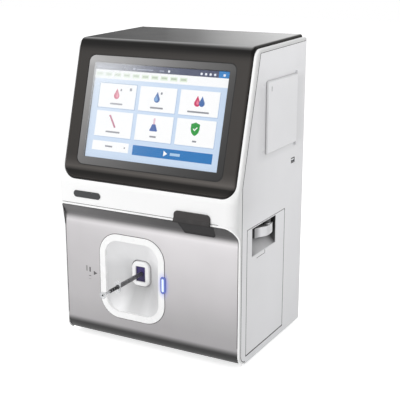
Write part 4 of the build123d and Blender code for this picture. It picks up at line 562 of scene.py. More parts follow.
# Painted reflection: the printed border is a light grey that falls off to the right and downwards.
ink_finish = finish("printed_glass", srgb(176, 175, 175), 0.3, grain=3.0, depth=0.0008, drift=0.02, drift_size=90,
                    rough_drift=0.03, specular=0.12)
ink_tree = ink_finish.node_tree
SHEEN_ACROSS = ((-120, 1.0), (-90, 0.86), (-60, 0.76), (-30, 0.62), (0, 0.51), (30, 0.38), (60, 0.29), (90, 0.23),
                (120, 0.175))
tone(ink_finish, ramp_x(ink_tree, SHEEN_ACROSS))
SHEEN_V = (8.0, 168.0)
SHEEN_UP = ((8, 0.34), (40, 0.44), (60, 0.49), (88, 0.56), (110, 0.64), (130, 0.7), (150, 0.79), (160, 1.0), (168, 1.0))
tone(ink_finish, grey_ramp(ink_tree, on_screen(0, SHEEN_V[0]), on_screen(0, SHEEN_V[1]),
                           stops_between(*SHEEN_V, SHEEN_UP)))
border = band_between(on_screen, rounded(GLASS[0], GLASS[1], GLASS[2], (0, GLASS_V)),
                      rounded(VIEW[0] + 3, VIEW[1] + 3, 1.0, (0, VIEW_V)), GLASS_BACK, GLASS_FACE)
glass_border = bevel(piece("glass_border", *border, ink_finish, slot="screen_glass", replaces=("touch_glass",),
                           smooth=False), 0.4)

pane_finish = bpy.data.materials.new("clear_pane")
pane_finish.use_nodes = True
pane_tree = pane_finish.node_tree
pane_skin = pane_tree.nodes["Principled BSDF"]
pane_skin.inputs["Base Color"].default_value = (0.96, 0.98, 1.0, 1.0)
pane_skin.inputs["IOR"].default_value = 1.5
# Painted reflection: the near-white pane shows more through its opacity towards the upper left.
REFLECTION_WASH_ACROSS = ((-110, 0.36), (-80, 0.31), (-50, 0.23), (-20, 0.11), (10, 0.05), (40, 0.02), (110, 0.01))
REFLECTION_WASH_V = (20.0, 152.0)
REFLECTION_WASH_UP = ((20, 0.15), (60, 0.25), (110, 0.55), (136, 0.85), (152, 1.0))
reflection_wash_up = grey_ramp(pane_tree, on_screen(0, REFLECTION_WASH_V[0]), on_screen(0, REFLECTION_WASH_V[1]), stops_between(*REFLECTION_WASH_V, REFLECTION_WASH_UP))
pane_tree.links.new(mixed(pane_tree, 1.0, ramp_x(pane_tree, REFLECTION_WASH_ACROSS), reflection_wash_up, "MULTIPLY"),
                    pane_skin.inputs["Alpha"])
pane_place = pane_tree.nodes.new("ShaderNodeTexCoord")
pane_wipe = noise(pane_tree, pane_place, 35.0, 5.0)
pane_tree.links.new(spread_range(pane_tree, pane_wipe.outputs["Fac"], 0.34, 0.38), pane_skin.inputs["Roughness"])
pane_skin.inputs["Specular IOR Level"].default_value = 0.25
pane = slab(on_screen, rounded(VIEW[0] + 3, VIEW[1] + 3, 1.0, (0, VIEW_V)), GLASS_FACE - 0.3, GLASS_FACE)
glass_pane = piece("glass_pane", *pane, pane_finish, slot="screen_glass", smooth=False)
# Painted shade: a dark line round the glass edge.
glass_shade_line = band_between(on_screen, rounded(GLASS[0] + 1.8, GLASS[1] + 1.8, GLASS[2] + 0.9, (0, GLASS_V)),
                            rounded(GLASS[0] + 0.05, GLASS[1] + 0.05, GLASS[2], (0, GLASS_V)), GLASS_BACK, -0.5)
piece("glass_shade_line", *glass_shade_line, rubber_finish, slot="screen_glass", smooth=False)
print("glass", GLASS[:2], "lit area", VIEW)

# %% [markdown]
# ## The lit picture
# The display is a lit panel, so its colours glow a little by themselves. Each shape of the picture is a
# thin flat piece on the panel, laid in order like paper cut-outs: background, bars, cards, icons. Words
# are plain bars, because the part carries no lettering of its own.

# %% Glowing colours
def lit(name, colour, glow=0.55):
    """A display colour: a third is reflected, the rest glows through a fine grid of picture dots."""
    made = bpy.data.materials.new(name)
    made.use_nodes = True
    tree = made.node_tree
    skin = tree.nodes["Principled BSDF"]
    place = tree.nodes.new("ShaderNodeTexCoord")
    dots = noise(tree, place, 0.17, 1.0)
    mix = tree.nodes.new("ShaderNodeMix")
    mix.data_type = "RGBA"
    mix.inputs["A"].default_value = shade(colour, 0.97)
    mix.inputs["B"].default_value = shade(colour, 1.03)
    tree.links.new(spread_range(tree, dots.outputs["Fac"], 0.0, 1.0), mix.inputs["Factor"])
    tree.links.new(mix.outputs["Result"], skin.inputs["Emission Color"])
    dim = node(tree, "ShaderNodeHueSaturation", Value=0.35)
    tree.links.new(mix.outputs["Result"], dim.inputs["Color"])
    tree.links.new(dim.outputs["Color"], skin.inputs["Base Color"])
    skin.inputs["Emission Strength"].default_value = glow
    skin.inputs["Roughness"].default_value = 0.5
    skin.inputs["Specular IOR Level"].default_value = 0.2
    return made


PICTURE_BASE = -4.0
LAYER = 0.12


def picture(name, colour, shapes, layer, glow=0.62):
    """Flat cut-outs of one colour on one layer of the picture."""
    low = PICTURE_BASE + LAYER * layer
    parts = [slab(on_screen, shape, low, low + LAYER * 0.8) for shape in shapes]
    return piece(name, *join_shapes(parts), lit(name + "_light", colour, glow), slot="display", smooth=False)


def box_shape(u0, u1, v0, v1, radius=0.6):
    return rounded(u1 - u0, v1 - v0, radius, ((u0 + u1) / 2, (v0 + v1) / 2), 3)


V_LOW, V_HIGH = VIEW_V - VIEW[1] / 2, VIEW_V + VIEW[1] / 2
U_HALF = VIEW[0] / 2 + 1.0
STATUS_V = 147.6
STRIP_V = 134.6
picture("picture_ground", srgb(202, 220, 242), [box_shape(-U_HALF, U_HALF, V_LOW - 1, STRIP_V + 1)], 1)
picture("picture_status", srgb(72, 78, 104), [box_shape(-U_HALF, U_HALF, STATUS_V, V_HIGH + 1)], 1)
picture("picture_corner", srgb(46, 128, 196), [box_shape(92.5, U_HALF, STATUS_V, V_HIGH + 1)], 2)
picture("picture_strip", srgb(250, 251, 252), [box_shape(-U_HALF, U_HALF, STRIP_V, STATUS_V - 0.1)], 2)
CARD_U = ((-98.0, -35.5), (-29.0, 31.2), (37.2, 98.8))
CARD_V = ((93.0, 128.0), (51.0, 88.0))
cards = [box_shape(*u, *v) for u in CARD_U for v in CARD_V]
print("picture layers are", LAYER, "mm thick")

# %% Cards and buttons
shadow_cards = [box_shape(u[0] + 0.3, u[1] + 0.9, v[0] - 0.9, v[1] - 0.3) for u in CARD_U for v in CARD_V]
FIELD = (-98.8, -36.4, 30.4, 44.2)
START = (-29.5, 99.2, 29.2, 43.4)
picture("picture_card_edges", srgb(172, 194, 224), shadow_cards, 2)
picture("picture_chosen_edge", srgb(140, 170, 200), [box_shape(-99.0, -34.4, 92.0, 129.0, 1.0)], 2)
picture("picture_cards", srgb(252, 253, 254), cards + [box_shape(*FIELD)], 3)
picture("picture_start", srgb(40, 118, 184), [box_shape(*START)], 3)
picture("picture_play", srgb(250, 252, 255), [[(22.0, 32.3), (28.2, 36.3), (22.0, 40.3)]], 4)
picture("picture_start_word", srgb(170, 202, 230), [box_shape(32.5, 48.5, 34.4, 38.2, 0.5)], 4)

# %% Icons
def drop(u, v, size):
    """A drop with its tip up."""
    points = [(u, v + size * 1.05)]
    for i in range(25):
        angle = radians(42) - radians(264) * i / 24
        points.append((u + size * 0.62 * cos(angle), v - size * 0.35 + size * 0.62 * sin(angle)))
    return points


def mid(u):
    return (CARD_U[u][0] + CARD_U[u][1]) / 2


ICON_TOP, ICON_LOW = 113.5, 74.5
red, blue = srgb(204, 60, 104), srgb(70, 108, 168)
picture("icon_red", red, [drop(mid(0) - 1, ICON_TOP, 7.6), drop(mid(2) - 3.2, ICON_TOP - 0.5, 7.6)], 4)
picture("icon_red_shine", srgb(232, 128, 154), [drop(mid(0) + 0.4, ICON_TOP - 1.4, 3.8),
                                               drop(mid(2) - 2.4, ICON_TOP - 1.6, 3.4)], 5)
picture("icon_blue", blue, [drop(mid(1) - 1, ICON_TOP, 7.6), drop(mid(2) + 4.2, ICON_TOP - 0.5, 7.2)], 5)
picture("icon_blue_shine", srgb(120, 164, 214), [drop(mid(1) - 2.2, ICON_TOP - 1.4, 4.4)], 6)
capillary = [(mid(0) - 9.6, 82.2), (mid(0) - 6.6, 82.8), (mid(0) + 4.2, 65.4), (mid(0) + 1.6, 64.2)]
picture("icon_capillary", srgb(188, 104, 134), [capillary], 4)
FLASK_U = mid(1) - 0.5
picture("icon_flask_neck", srgb(228, 192, 206), [box_shape(FLASK_U - 1.5, FLASK_U + 1.5, 74.0, 84.0, 0.4)], 4)
flask = [(FLASK_U - 2.6, 75.5), (FLASK_U + 2.6, 75.5), (FLASK_U + 6.4, 66.8), (FLASK_U + 5.6, 65.6),
         (FLASK_U - 5.6, 65.6), (FLASK_U - 6.4, 66.8)]
picture("icon_flask", srgb(74, 104, 168), [flask], 5)
SHIELD = (mid(2) - 1.0, 74.5)
shield = [(SHIELD[0] + su, SHIELD[1] + sv) for su, sv in
          ((0, 9.6), (3.4, 8.2), (6.9, 7.2), (6.9, -0.5), (5.4, -4.8), (2.8, -7.6), (0, -9.2), (-2.8, -7.6),
           (-5.4, -4.8), (-6.9, -0.5), (-6.9, 7.2), (-3.4, 8.2))]
picture("icon_shield", srgb(40, 150, 60), [shield], 4)
tick = [(SHIELD[0] + su, SHIELD[1] + sv) for su, sv in
        ((-3.3, 0.2), (-2.3, 1.2), (-0.8, -0.5), (2.7, 3.2), (3.7, 2.2), (-0.8, -2.7))]
picture("icon_tick", srgb(250, 252, 250), [tick], 5)

# %% Words as plain bars, and the small marks of the status bar
CAPTIONS = ((mid(0), 99.0, 21.0), (mid(1), 98.6, 21.0), (mid(2), 98.2, 34.0), (mid(0), 58.2, 24.0),
            (mid(1), 57.8, 10.4), (mid(2), 57.7, 6.4), (-70.2, 37.2, 12.5), (-43.2, 37.2, 2.0))
captions = [box_shape(u - wide / 2, u + wide / 2, v - 1.15, v + 1.15, 0.5) for u, v, wide in CAPTIONS]
captions.append(box_shape(-46.8, -42.8, 119.0, 123.2, 0.6))
picture("picture_captions", srgb(146, 148, 156), captions, 5, 0.55)
dots = [box_shape(u - 1.3, u + 1.3, 118.0, 121.2, 0.4) for u in (mid(0) + 5.6, mid(1) + 5.6)]
picture("picture_dots", srgb(120, 124, 134), dots, 5, 0.55)
STRIP_MARKS, MARK_PITCH, MARK_WIDE = 10, 15.6, 11.7
mark_starts = [-107.5 + i * MARK_PITCH for i in range(STRIP_MARKS)]
marks = [box_shape(u, u + MARK_WIDE, 138.0, 144.0, 0.8) for u in mark_starts]
picture("strip_marks", srgb(228, 240, 222), marks, 4)
mark_bars = [box_shape(u + 1.4, u + MARK_WIDE - 1.4, 139.8, 142.4, 0.4) for u in mark_starts]
picture("strip_mark_bars", srgb(190, 202, 182), mark_bars, 5)
status = [box_shape(-106, -78, 150.6, 152.0, 0.4), box_shape(-46, -42, 149.8, 152.8, 0.6),
          box_shape(-40, -12, 150.4, 151.8, 0.4), box_shape(-2, 6, 150.4, 151.8, 0.4)]
picture("status_words", srgb(150, 156, 178), status, 3)
badges = [box_shape(12 + i, 15.5 + i, 149.6, 152.9, 1.4) for i in (0, 52, 59, 66, 73)]
picture("status_marks", srgb(236, 240, 248), badges + [box_shape(99.5, 103.0, 149.8, 153.0, 0.8)], 3)

panel_back = finish("panel_dark", srgb(26, 27, 30), 0.5, grain=1.0, depth=0.002, drift=0.05)
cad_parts["display_panel"].data.materials.clear()
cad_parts["display_panel"].data.materials.append(panel_back)

# %% [markdown]
# ## The port light
# A clear rod carries light to the ring's edge. Its middle glows almost white and its rim deep blue, and
# the plastic and lacquer round it carry a faint halo of painted light. The rod is a rounded capsule with a
# bright core set into a blue sleeve; the halo is painted light, a ramp over the distance from the light in
# its neighbours' finish.

# %% Light sleeve and core
PORT_X, PORT_H = -28.5, 103.5
LIGHT = (PORT_X + 53.75, PORT_H)
LIGHT_FACE = 216.2
front_board = on_front(0.0)


def glow_material(name, colour, strength):
    made = lit(name, colour, strength)
    made.node_tree.nodes["Principled BSDF"].inputs["Roughness"].default_value = 0.3
    return made


sleeve = slab(front_board, rounded(8.0, 26.0, 3.99, LIGHT), LIGHT_FACE - 7.0, LIGHT_FACE - 0.25)
light_sleeve = bevel(piece("light_sleeve", *sleeve, glow_material("blue_sleeve", srgb(110, 126, 200), 0.6),
                           slot="light_pipe", replaces=("port_light",), smooth=False), 0.7, 3)
core = slab(front_board, rounded(3.6, 20.0, 1.79, LIGHT), LIGHT_FACE - 1.0, LIGHT_FACE)
light_core = bevel(piece("light_core", *core, glow_material("light_core_white", srgb(214, 228, 255), 1.0),
                         slot="light_pipe", smooth=False), 0.3, 2)


def halo(material, reach, colour, strength):
    """Paints light into a finish: a soft glow round the port light, as emission and a tint of its colour."""
    tree = material.node_tree
    skin = tree.nodes["Principled BSDF"]
    place = tree.nodes.new("ShaderNodeTexCoord")
    squeeze = tree.nodes.new("ShaderNodeMapping")
    centre = spot(LIGHT[0], LIGHT_FACE, LIGHT[1])
    squeeze.vector_type = "POINT"
    squeeze.inputs["Location"].default_value = (-centre.x, -centre.y, -centre.z * 0.45)
    squeeze.inputs["Scale"].default_value = (1.0, 1.0, 0.45)
    length = tree.nodes.new("ShaderNodeVectorMath")
    length.operation = "LENGTH"
    fall = tree.nodes.new("ShaderNodeMapRange")
    fall.interpolation_type = "SMOOTHERSTEP"
    fall.inputs["From Min"].default_value = 3.0 * MM
    fall.inputs["From Max"].default_value = reach * MM
    fall.inputs["To Min"].default_value = strength
    fall.inputs["To Max"].default_value = 0.0
    tint = tree.nodes.new("ShaderNodeMix")
    tint.data_type = "RGBA"
    tint.inputs["A"].default_value = (0, 0, 0, 1)
    tint.inputs["B"].default_value = (*colour, 1)
    tree.links.new(place.outputs["Object"], squeeze.inputs["Vector"])
    tree.links.new(squeeze.outputs["Vector"], length.inputs[0])
    tree.links.new(length.outputs["Value"], fall.inputs["Value"])
    tree.links.new(fall.outputs["Result"], tint.inputs["Factor"])
    tree.links.new(tint.outputs["Result"], skin.inputs["Emission Color"])
    skin.inputs["Emission Strength"].default_value = 0.15
    blend = tree.nodes.new("ShaderNodeMix")
    blend.data_type = "RGBA"
    source = skin.inputs["Base Color"].links[0].from_socket
    blend.inputs["B"].default_value = (*colour, 1)
    tree.links.new(source, blend.inputs["A"])
    tree.links.new(fall.outputs["Result"], blend.inputs["Factor"])
    tree.links.new(blend.outputs["Result"], skin.inputs["Base Color"])


glow_blue = srgb(126, 134, 224)
halo(silver_finish, 13.0, glow_blue, 0.5)
halo(ring_finish, 12.0, glow_blue, 0.45)
print("light at", LIGHT)

# %% [markdown]
# ## The sample syringe
# The syringe is turned on one axis. Its barrel is smoke-grey, the finger flange, the rod and the thumb
# disc are clear plastic, and the rod carries dark grip ribs. Barrel and flange ride on the syringe's
# slide, the rod and its ribs on the plunger's.

# %% Syringe finishes
barrel_finish = finish("smoke_barrel", srgb(84, 84, 86), 0.3, grain=0.6, depth=0.003, drift=0.06, drift_size=12)
rib_finish = finish("rib_black", srgb(18, 18, 19), 0.3, grain=0.3, depth=0.006, drift=0.08, drift_size=5)


def clear_plastic(name, tone, clearness):
    """Thin clear plastic: mostly see-through, with a moulded ripple."""
    made = finish(name, tone, 0.18, grain=0.9, depth=0.006, drift=0.04, drift_size=8)
    made.node_tree.nodes["Principled BSDF"].inputs["Alpha"].default_value = 1.0 - clearness
    return made


flange_finish = clear_plastic("clear_flange", srgb(226, 228, 230), 0.5)
rod_finish = clear_plastic("clear_rod", srgb(222, 224, 226), 0.35)

# %% Syringe pieces
FORWARD = Vector((0, -1, 0))
BARREL = (158.0, 168.0, 251.6)
BARREL_R, BARREL_BORE = 3.25, 2.7
NOZZLE_R, NOZZLE_BORE = 2.0, 1.1
GRIP = (8.6, 19.0, 1.6)
RIB_START, RIB_PITCH = 253.6, 5.5
ROD = (232.0, 290.0)


def along(d):
    return d - BARREL[0]


syringe_start = spot(PORT_X, BARREL[0], PORT_H)
tube_profile = [(0, NOZZLE_BORE), (0, NOZZLE_R - 0.2), (0.3, NOZZLE_R), (9.6, NOZZLE_R), (10.0, BARREL_R - 0.3),
                (10.4, BARREL_R), (along(BARREL[2]) - GRIP[2], BARREL_R), (along(BARREL[2]) - 0.2, BARREL_R),
                (along(BARREL[2]), BARREL_R - 0.2), (along(BARREL[2]), BARREL_BORE), (11.4, BARREL_BORE),
                (11.0, NOZZLE_BORE), (0.0, NOZZLE_BORE)]
barrel_shape = turned(tube_profile, syringe_start, FORWARD)
barrel = piece("barrel_tube", barrel_shape[0], barrel_shape[1][:-2], barrel_finish, body="syringe",
               slot="syringe_grey", replaces=("syringe_barrel",))
grip_outer = rounded(GRIP[0], GRIP[1], 4.2, (PORT_X, PORT_H))
grip_inner = [(PORT_X + (BARREL_R + 0.02) * cos(a), PORT_H + (BARREL_R + 0.02) * sin(a))
              for a in (2 * pi * i / len(grip_outer) for i in range(len(grip_outer)))]
grip = band_between(on_front(0.0), grip_outer, grip_inner, BARREL[2] - GRIP[2], BARREL[2])
finger_flange = bevel(piece("finger_flange", *grip, flange_finish, body="syringe", slot="syringe_grey",
                            smooth=False), 0.4, 2)
rod_profile = [(0, 1.6), (0.2, 1.8), (ROD[1] - ROD[0] - 2.2, 1.8), (ROD[1] - ROD[0] - 2.0, 4.9),
               (ROD[1] - ROD[0] - 1.6, 5.2), (ROD[1] - ROD[0] - 0.4, 5.2), (ROD[1] - ROD[0] - 0.1, 4.9),
               (ROD[1] - ROD[0] - 0.1, 3.9), (ROD[1] - ROD[0] - 0.6, 3.5)]
rod = turned(rod_profile, spot(PORT_X, ROD[0], PORT_H), FORWARD)
plunger = piece("plunger_stem", *rod, rod_finish, body="plunger", slot="syringe_grey", replaces=("plunger_rod",))
RIB_R, RIB_LONG = 2.62, (6.6, 3.4, 3.4, 3.4)
ribs = [turned([(0, RIB_R - 0.3), (0.3, RIB_R), (long - 0.3, RIB_R), (long, RIB_R - 0.3)],
               spot(PORT_X, RIB_START + i * RIB_PITCH - 1.4 * bool(i), PORT_H), FORWARD) for i, long in enumerate(RIB_LONG)]
ribs.append(turned([(0, 1.3), (0.4, 1.3), (0.6, 1.1)], spot(PORT_X, ROD[1] - 0.7, PORT_H), FORWARD, 24))
grip_ribs = piece("grip_ribs", *join_shapes(ribs), rib_finish, body="plunger", slot="seal_black", smooth=False)
print("syringe pieces: barrel, flange, stem,", len(RIB_LONG), "ribs")

# %% [markdown]
# ## Wires, tubes and sheets
# Two more tools draw the works: a round wire swept along a line of points, and a thin curved sheet drawn
# as a grid on a board. The fan's guard and blades come from these, and so do the bead and dark lines along the frame.

# %% Swept wire and gridded sheet
def swept(points, radius, steps=12, closed=False):
    """A round wire along a line of points, given in metres, with its radius in mm."""
    count = len(points)
    vertices, faces = [], []
    guide = Vector((0, 0, 1))
    for i, point in enumerate(points):
        before = points[(i - 1) % count] if closed or i else point
        after = points[(i + 1) % count] if closed or i < count - 1 else point
        run = (after - before).normalized()
        side = run.cross(guide if abs(run.dot(guide)) < 0.95 else Vector((1, 0, 0))).normalized()
        up = run.cross(side)
        for k in range(steps):
            angle = 2 * pi * k / steps
            vertices.append(point + (side * cos(angle) + up * sin(angle)) * radius * MM)
    for i in range(count if closed else count - 1):
        for k in range(steps):
            a, b = i * steps + k, i * steps + (k + 1) % steps
            c, d = ((i + 1) % count) * steps + (k + 1) % steps, ((i + 1) % count) * steps + k
            faces.append([a, b, c, d])
    if not closed:
        faces.append(list(range(steps))[::-1])
        faces.append([(count - 1) * steps + k for k in range(steps)])
    return vertices, faces


def sheet(board, across, along_steps, low, high):
    """A thin sheet over a grid of (u, v) in 0..1, drawn on a board, with its rim closed."""
    nu, nv = across + 1, along_steps + 1
    vertices = [board(i / across, j / along_steps, lift) for lift in (low, high) for i in range(nu) for j in range(nv)]
    faces = []
    for i in range(across):
        for j in range(along_steps):
            a = i * nv + j
            faces.append([a, a + 1, a + nv + 1, a + nv])
            faces.append([nu * nv + k for k in (a, a + nv, a + nv + 1, a + 1)])
    rim = [j for j in range(nv)] + [i * nv + nv - 1 for i in range(1, nu)]
    rim += [(nu - 1) * nv + j for j in range(nv - 2, -1, -1)] + [i * nv for i in range(nu - 2, 0, -1)]
    for k, a in enumerate(rim):
        b = rim[(k + 1) % len(rim)]
        faces.append([a, b, nu * nv + b, nu * nv + a])
    return vertices, faces


# %% Fan: guard and blades
FAN_X, FAN_H = -70.0, 330.0
GUARD_RINGS, GUARD_PITCH, GUARD_WIRE = 4, 9.5, 0.8
guard_shapes = []
for ring in range(1, GUARD_RINGS + 1):
    radius = ring * GUARD_PITCH
    circle = [spot(FAN_X + radius * cos(a), -1.0, FAN_H + radius * sin(a)) for a in (2 * pi * i / 72 for i in range(72))]
    guard_shapes.append(swept(circle, GUARD_WIRE, closed=True))
for i in range(4):
    a = pi / 2 * i
    reach = GUARD_RINGS * GUARD_PITCH
    spoke = [spot(FAN_X + t * cos(a), -2.1, FAN_H + t * sin(a)) for t in (GUARD_PITCH, reach)]
    guard_shapes.append(swept(spoke, GUARD_WIRE))
fan_grille = piece("fan_grille", *join_shapes(guard_shapes), bright_finish, slot="sheet_steel",
                   replaces=("fan_guard",))

BLADES = 7
HUB_R, TIP_R = 16.5, 36.3
ROTOR = (5.0, 23.0)
CHORD, PITCH, SWEEP, CAMBER = 16.0, radians(40), radians(16), 1.8


def blade_board(turn):
    def place(u, v, lift):
        radius = HUB_R - 0.6 + (TIP_R - HUB_R + 0.6) * u
        chord = (v - 0.5) * CHORD
        bow = CAMBER * (1 - (2 * v - 1) ** 2) + lift
        around = chord * cos(PITCH) - bow * sin(PITCH)
        depth = chord * sin(PITCH) + bow * cos(PITCH)
        angle = turn + around / radius + SWEEP * u * u
        return spot(FAN_X + radius * cos(angle), (ROTOR[0] + ROTOR[1]) / 2 + depth, FAN_H + radius * sin(angle))
    return place


blades = [sheet(blade_board(2 * pi * i / BLADES), 8, 8, -0.6, 0.6) for i in range(BLADES)]
hub = turned([(0, HUB_R - 1.5), (0.5, HUB_R - 0.5), (1.5, HUB_R), (ROTOR[1] - ROTOR[0], HUB_R)],
             spot(FAN_X, ROTOR[0], FAN_H), FORWARD, 56)
fan_wheel = piece("fan_wheel", *join_shapes(blades + [hub]), motor_finish, body="fan", slot="trim_dark",
                  replaces=("fan_rotor",), smooth=False)
fan_wheel.data.shade_smooth()
bevel(fan_wheel, 0.25, 2, 50)
print("fan:", GUARD_RINGS, "rings,", BLADES, "blades")

# %% Screws of the rear panel
def on_back(u, v, lift=0.0):
    return spot(u, -lift, v)


def circle_outline(radius, middle, count=24):
    return [(middle[0] + radius * cos(2 * pi * i / count), middle[1] + radius * sin(2 * pi * i / count))
            for i in range(count)]


def star_outline(radius, middle, count=24):
    """Outline of a six-lobed drive socket."""
    points = []
    for i in range(count):
        angle = 2 * pi * i / count
        reach = radius * (1 + 0.16 * cos(6 * angle))
        points.append((middle[0] + reach * cos(angle), middle[1] + reach * sin(angle)))
    return points


SCREW_X, SCREW_ROWS = 136.5, [16.0 + i * 409.0 / 3 for i in range(4)]
HEAD_R, HEAD_TALL, DRIVE_R = 2.8, 1.5, 1.2
heads = []
for sx in (-1, 1):
    for h in SCREW_ROWS:
        middle = (sx * SCREW_X, h)
        heads.append(band_between(on_back, circle_outline(HEAD_R, middle), star_outline(DRIVE_R, middle), 0.0, HEAD_TALL))
        heads.append(slab(on_back, star_outline(DRIVE_R - 0.02, middle), 0.0, 0.5))
        heads.append(slab(on_back, circle_outline(1.5, middle), -2.0, -0.01))
screws = bevel(piece("panel_screws", *join_shapes(heads), bright_finish, slot="sheet_steel",
                     replaces=("case_screws",), smooth=False), 0.5, 3, 60)
print("screws:", len(heads) // 3)

# %% Feet with a grooved sole
FOOT_SPOTS = [(sx * 110.5, d) for sx in (-1, 1) for d in (40.0, 168.0)]
foot_profile = [(0, 0.5), (0, 3.9), (2.0, 3.9), (2.0, 10.8), (2.6, 11.0), (4.0, 10.7), (4.3, 10.3), (4.6, 10.6), (8.4, 9.8),
                (9.0, 9.2), (9.0, 6.6), (8.3, 6.2), (8.3, 5.0), (9.0, 4.6), (9.0, 0.5)]
foot_shapes = [turned(foot_profile, spot(x, d, 2.0), Vector((0, 0, -1)), 40) for x, d in FOOT_SPOTS]
piece("rubber_feet", *join_shapes(foot_shapes), rubber_finish, slot="seal_black", replaces=("feet",), smooth=False)
print("feet at", FOOT_SPOTS)

# %% Printer: paper on its core, roller on its shaft
ROLL_X, ROLL_D, ROLL_R = 106.5, 80.0, 24.0
PAPER_H = (318.0, 375.0)
paper_long = PAPER_H[1] - PAPER_H[0]
card_finish = finish("core_card", srgb(168, 146, 118), 0.8, grain=0.5, depth=0.03, drift=0.08, drift_size=6)
UP = Vector((0, 0, 1))
wound = turned([(0, 7.4), (0, ROLL_R - 0.3), (0.3, ROLL_R), (paper_long - 0.3, ROLL_R), (paper_long, ROLL_R - 0.3),
                (paper_long, 7.4), (0, 7.4)], spot(ROLL_X, ROLL_D, PAPER_H[0]), UP, 72)
piece("wound_paper", wound[0], wound[1][:-2], paper_finish, body="paper", slot="paper", replaces=("paper_roll",),
      smooth=False).data.shade_smooth()
core_tube = turned([(0, 6.05), (0, 7.38), (paper_long, 7.38), (paper_long, 6.05), (0, 6.05)],
                   spot(ROLL_X, ROLL_D, PAPER_H[0]), UP, 48)
piece("paper_core", core_tube[0], core_tube[1][:-2], card_finish, body="paper", slot="paper", smooth=False)
PLATEN = (141.5, 126.0)
PLATEN_R, SHAFT_R, SHAFT_H = 5.0, 2.0, (313.0, 380.0)
sleeve_shape = turned([(0, 2.01), (0, PLATEN_R - 0.4), (0.4, PLATEN_R), (paper_long - 0.4, PLATEN_R),
                       (paper_long, PLATEN_R - 0.4), (paper_long, 2.01), (0, 2.01)], spot(*PLATEN, PAPER_H[0]), UP, 40)
piece("platen_sleeve", sleeve_shape[0], sleeve_shape[1][:-2], rubber_finish, body="platen", slot="seal_black",
      replaces=("platen_roller",), smooth=False)
shaft = turned([(0, SHAFT_R - 0.4), (0.4, SHAFT_R), (SHAFT_H[1] - SHAFT_H[0] - 0.4, SHAFT_R),
                (SHAFT_H[1] - SHAFT_H[0], SHAFT_R - 0.4)], spot(*PLATEN, SHAFT_H[0]), UP, 32)
piece("platen_shaft", *shaft, bright_finish, body="platen", slot="seal_black", smooth=False)
print("printer roll", ROLL_R, "mm, platen", PLATEN_R, "mm")

# %% Lead screw with its thread
SCREW = (64.3, 149.0)
SCREW_CENTRE = (PORT_X, 123.5)
CREST, ROOT, LEAD, STARTS = 3.0, 2.55, 10.0, 4
AROUND, PER_MM = 32, 2.5
rows = int((SCREW[1] - SCREW[0]) * PER_MM)
thread_vertices, thread_faces = [], []
for row in range(rows + 1):
    run = (SCREW[1] - SCREW[0]) * row / rows
    for k in range(AROUND):
        angle = 2 * pi * k / AROUND
        wave = cos(STARTS * (2 * pi * run / LEAD - angle))
        radius = (CREST + ROOT) / 2 + (CREST - ROOT) / 2 * max(-1.0, min(1.0, wave * 1.6))
        thread_vertices.append(spot(SCREW_CENTRE[0] + radius * cos(angle), SCREW[0] + run,
                                    SCREW_CENTRE[1] + radius * sin(angle)))
for row in range(rows):
    for k in range(AROUND):
        a, b = row * AROUND + k, row * AROUND + (k + 1) % AROUND
        thread_faces.append([a, b, b + AROUND, a + AROUND])
thread_faces += [list(range(AROUND))[::-1], [rows * AROUND + k for k in range(AROUND)]]
piece("threaded_screw", thread_vertices, thread_faces, bright_finish, body="screw", slot="sheet_steel",
      replaces=("lead_screw",))
print("thread lead", LEAD, "mm,", STARTS, "starts")

# %% Reagent pack: septum caps and a blank label
PACK_TOP, DRAWER_MID = 148.0, 129.75
cap_finish = finish("septum_grey", srgb(112, 116, 122), 0.6, grain=0.3, depth=0.01, drift=0.08, drift_size=5)
label_finish = finish("blank_label", srgb(236, 238, 240), 0.5, grain=0.2, depth=0.002, drift=0.02, drift_size=12)
CAP_PITCH, CAP_R = 17.0, 5.0
caps = [turned([(-4, CAP_R - 0.6), (-0.5, CAP_R), (-0.1, CAP_R - 0.3), (-0.1, 2.2), (-0.7, 1.8), (-0.7, 0.2)],
               spot(32.0, DRAWER_MID + (i - 2) * CAP_PITCH, PACK_TOP), UP, 32) for i in range(5)]
piece("pack_septa", *join_shapes(caps), cap_finish, body="drawer", slot="inner_plastic", smooth=False)


def on_pack(u, v, lift=0.0):
    return spot(118.0 + lift, u, v)


pack_label = slab(on_pack, rounded(78.0, 44.0, 3.0, (DRAWER_MID, 112.0)), 0.0, 0.12)
piece("pack_label", *pack_label, label_finish, body="drawer", slot="inner_plastic", smooth=False)
print("pack caps:", len(caps))

# %% Main board: capacitors, chips' legs and a row of plugs
BOARD_FACE = 13.6
can_finish = finish("capacitor_can", srgb(150, 156, 170), 0.3, grain=0.4, depth=0.004, drift=0.05, metal=0.8,
                    drift_size=6)
gold_finish = finish("gilt_contact", srgb(206, 172, 98), 0.3, grain=0.3, depth=0.003, drift=0.08, metal=1.0,
                     drift_size=4)
CANS = [(44.0 + 11.0 * i, 384.0, 4.0, 10.0) for i in range(4)] + [(58.0, 330.0, 5.5, 13.0), (40.0, 318.0, 5.5, 13.0)]
cans = [turned([(0, r_can - 0.3), (0.3, r_can), (1.4, r_can), (1.8, r_can - 0.5), (2.2, r_can), (tall - 0.6, r_can),
                (tall, r_can - 0.6)], spot(x, BOARD_FACE, h), FORWARD, 28) for x, h, r_can, tall in CANS]
piece("board_cans", *join_shapes(cans), can_finish, slot="board_green", smooth=False)
board_face = on_front(BOARD_FACE)
legs = []
for chip_x, chip_h, chip in ((20, 370, 26), (70, 260, 22), (20, 290, 18), (10, 330, 14)):
    count = int(chip / 1.6)
    for i in range(count):
        step = (i - (count - 1) / 2) * 1.6
        for side in (-1, 1):
            legs.append(slab(board_face, rounded(1.6, 0.6, 0.1, (chip_x + side * (chip / 2 + 0.7), chip_h + step), 2), 0, 0.3))
            legs.append(slab(board_face, rounded(0.6, 1.6, 0.1, (chip_x + step, chip_h + side * (chip / 2 + 0.7)), 2), 0, 0.3))
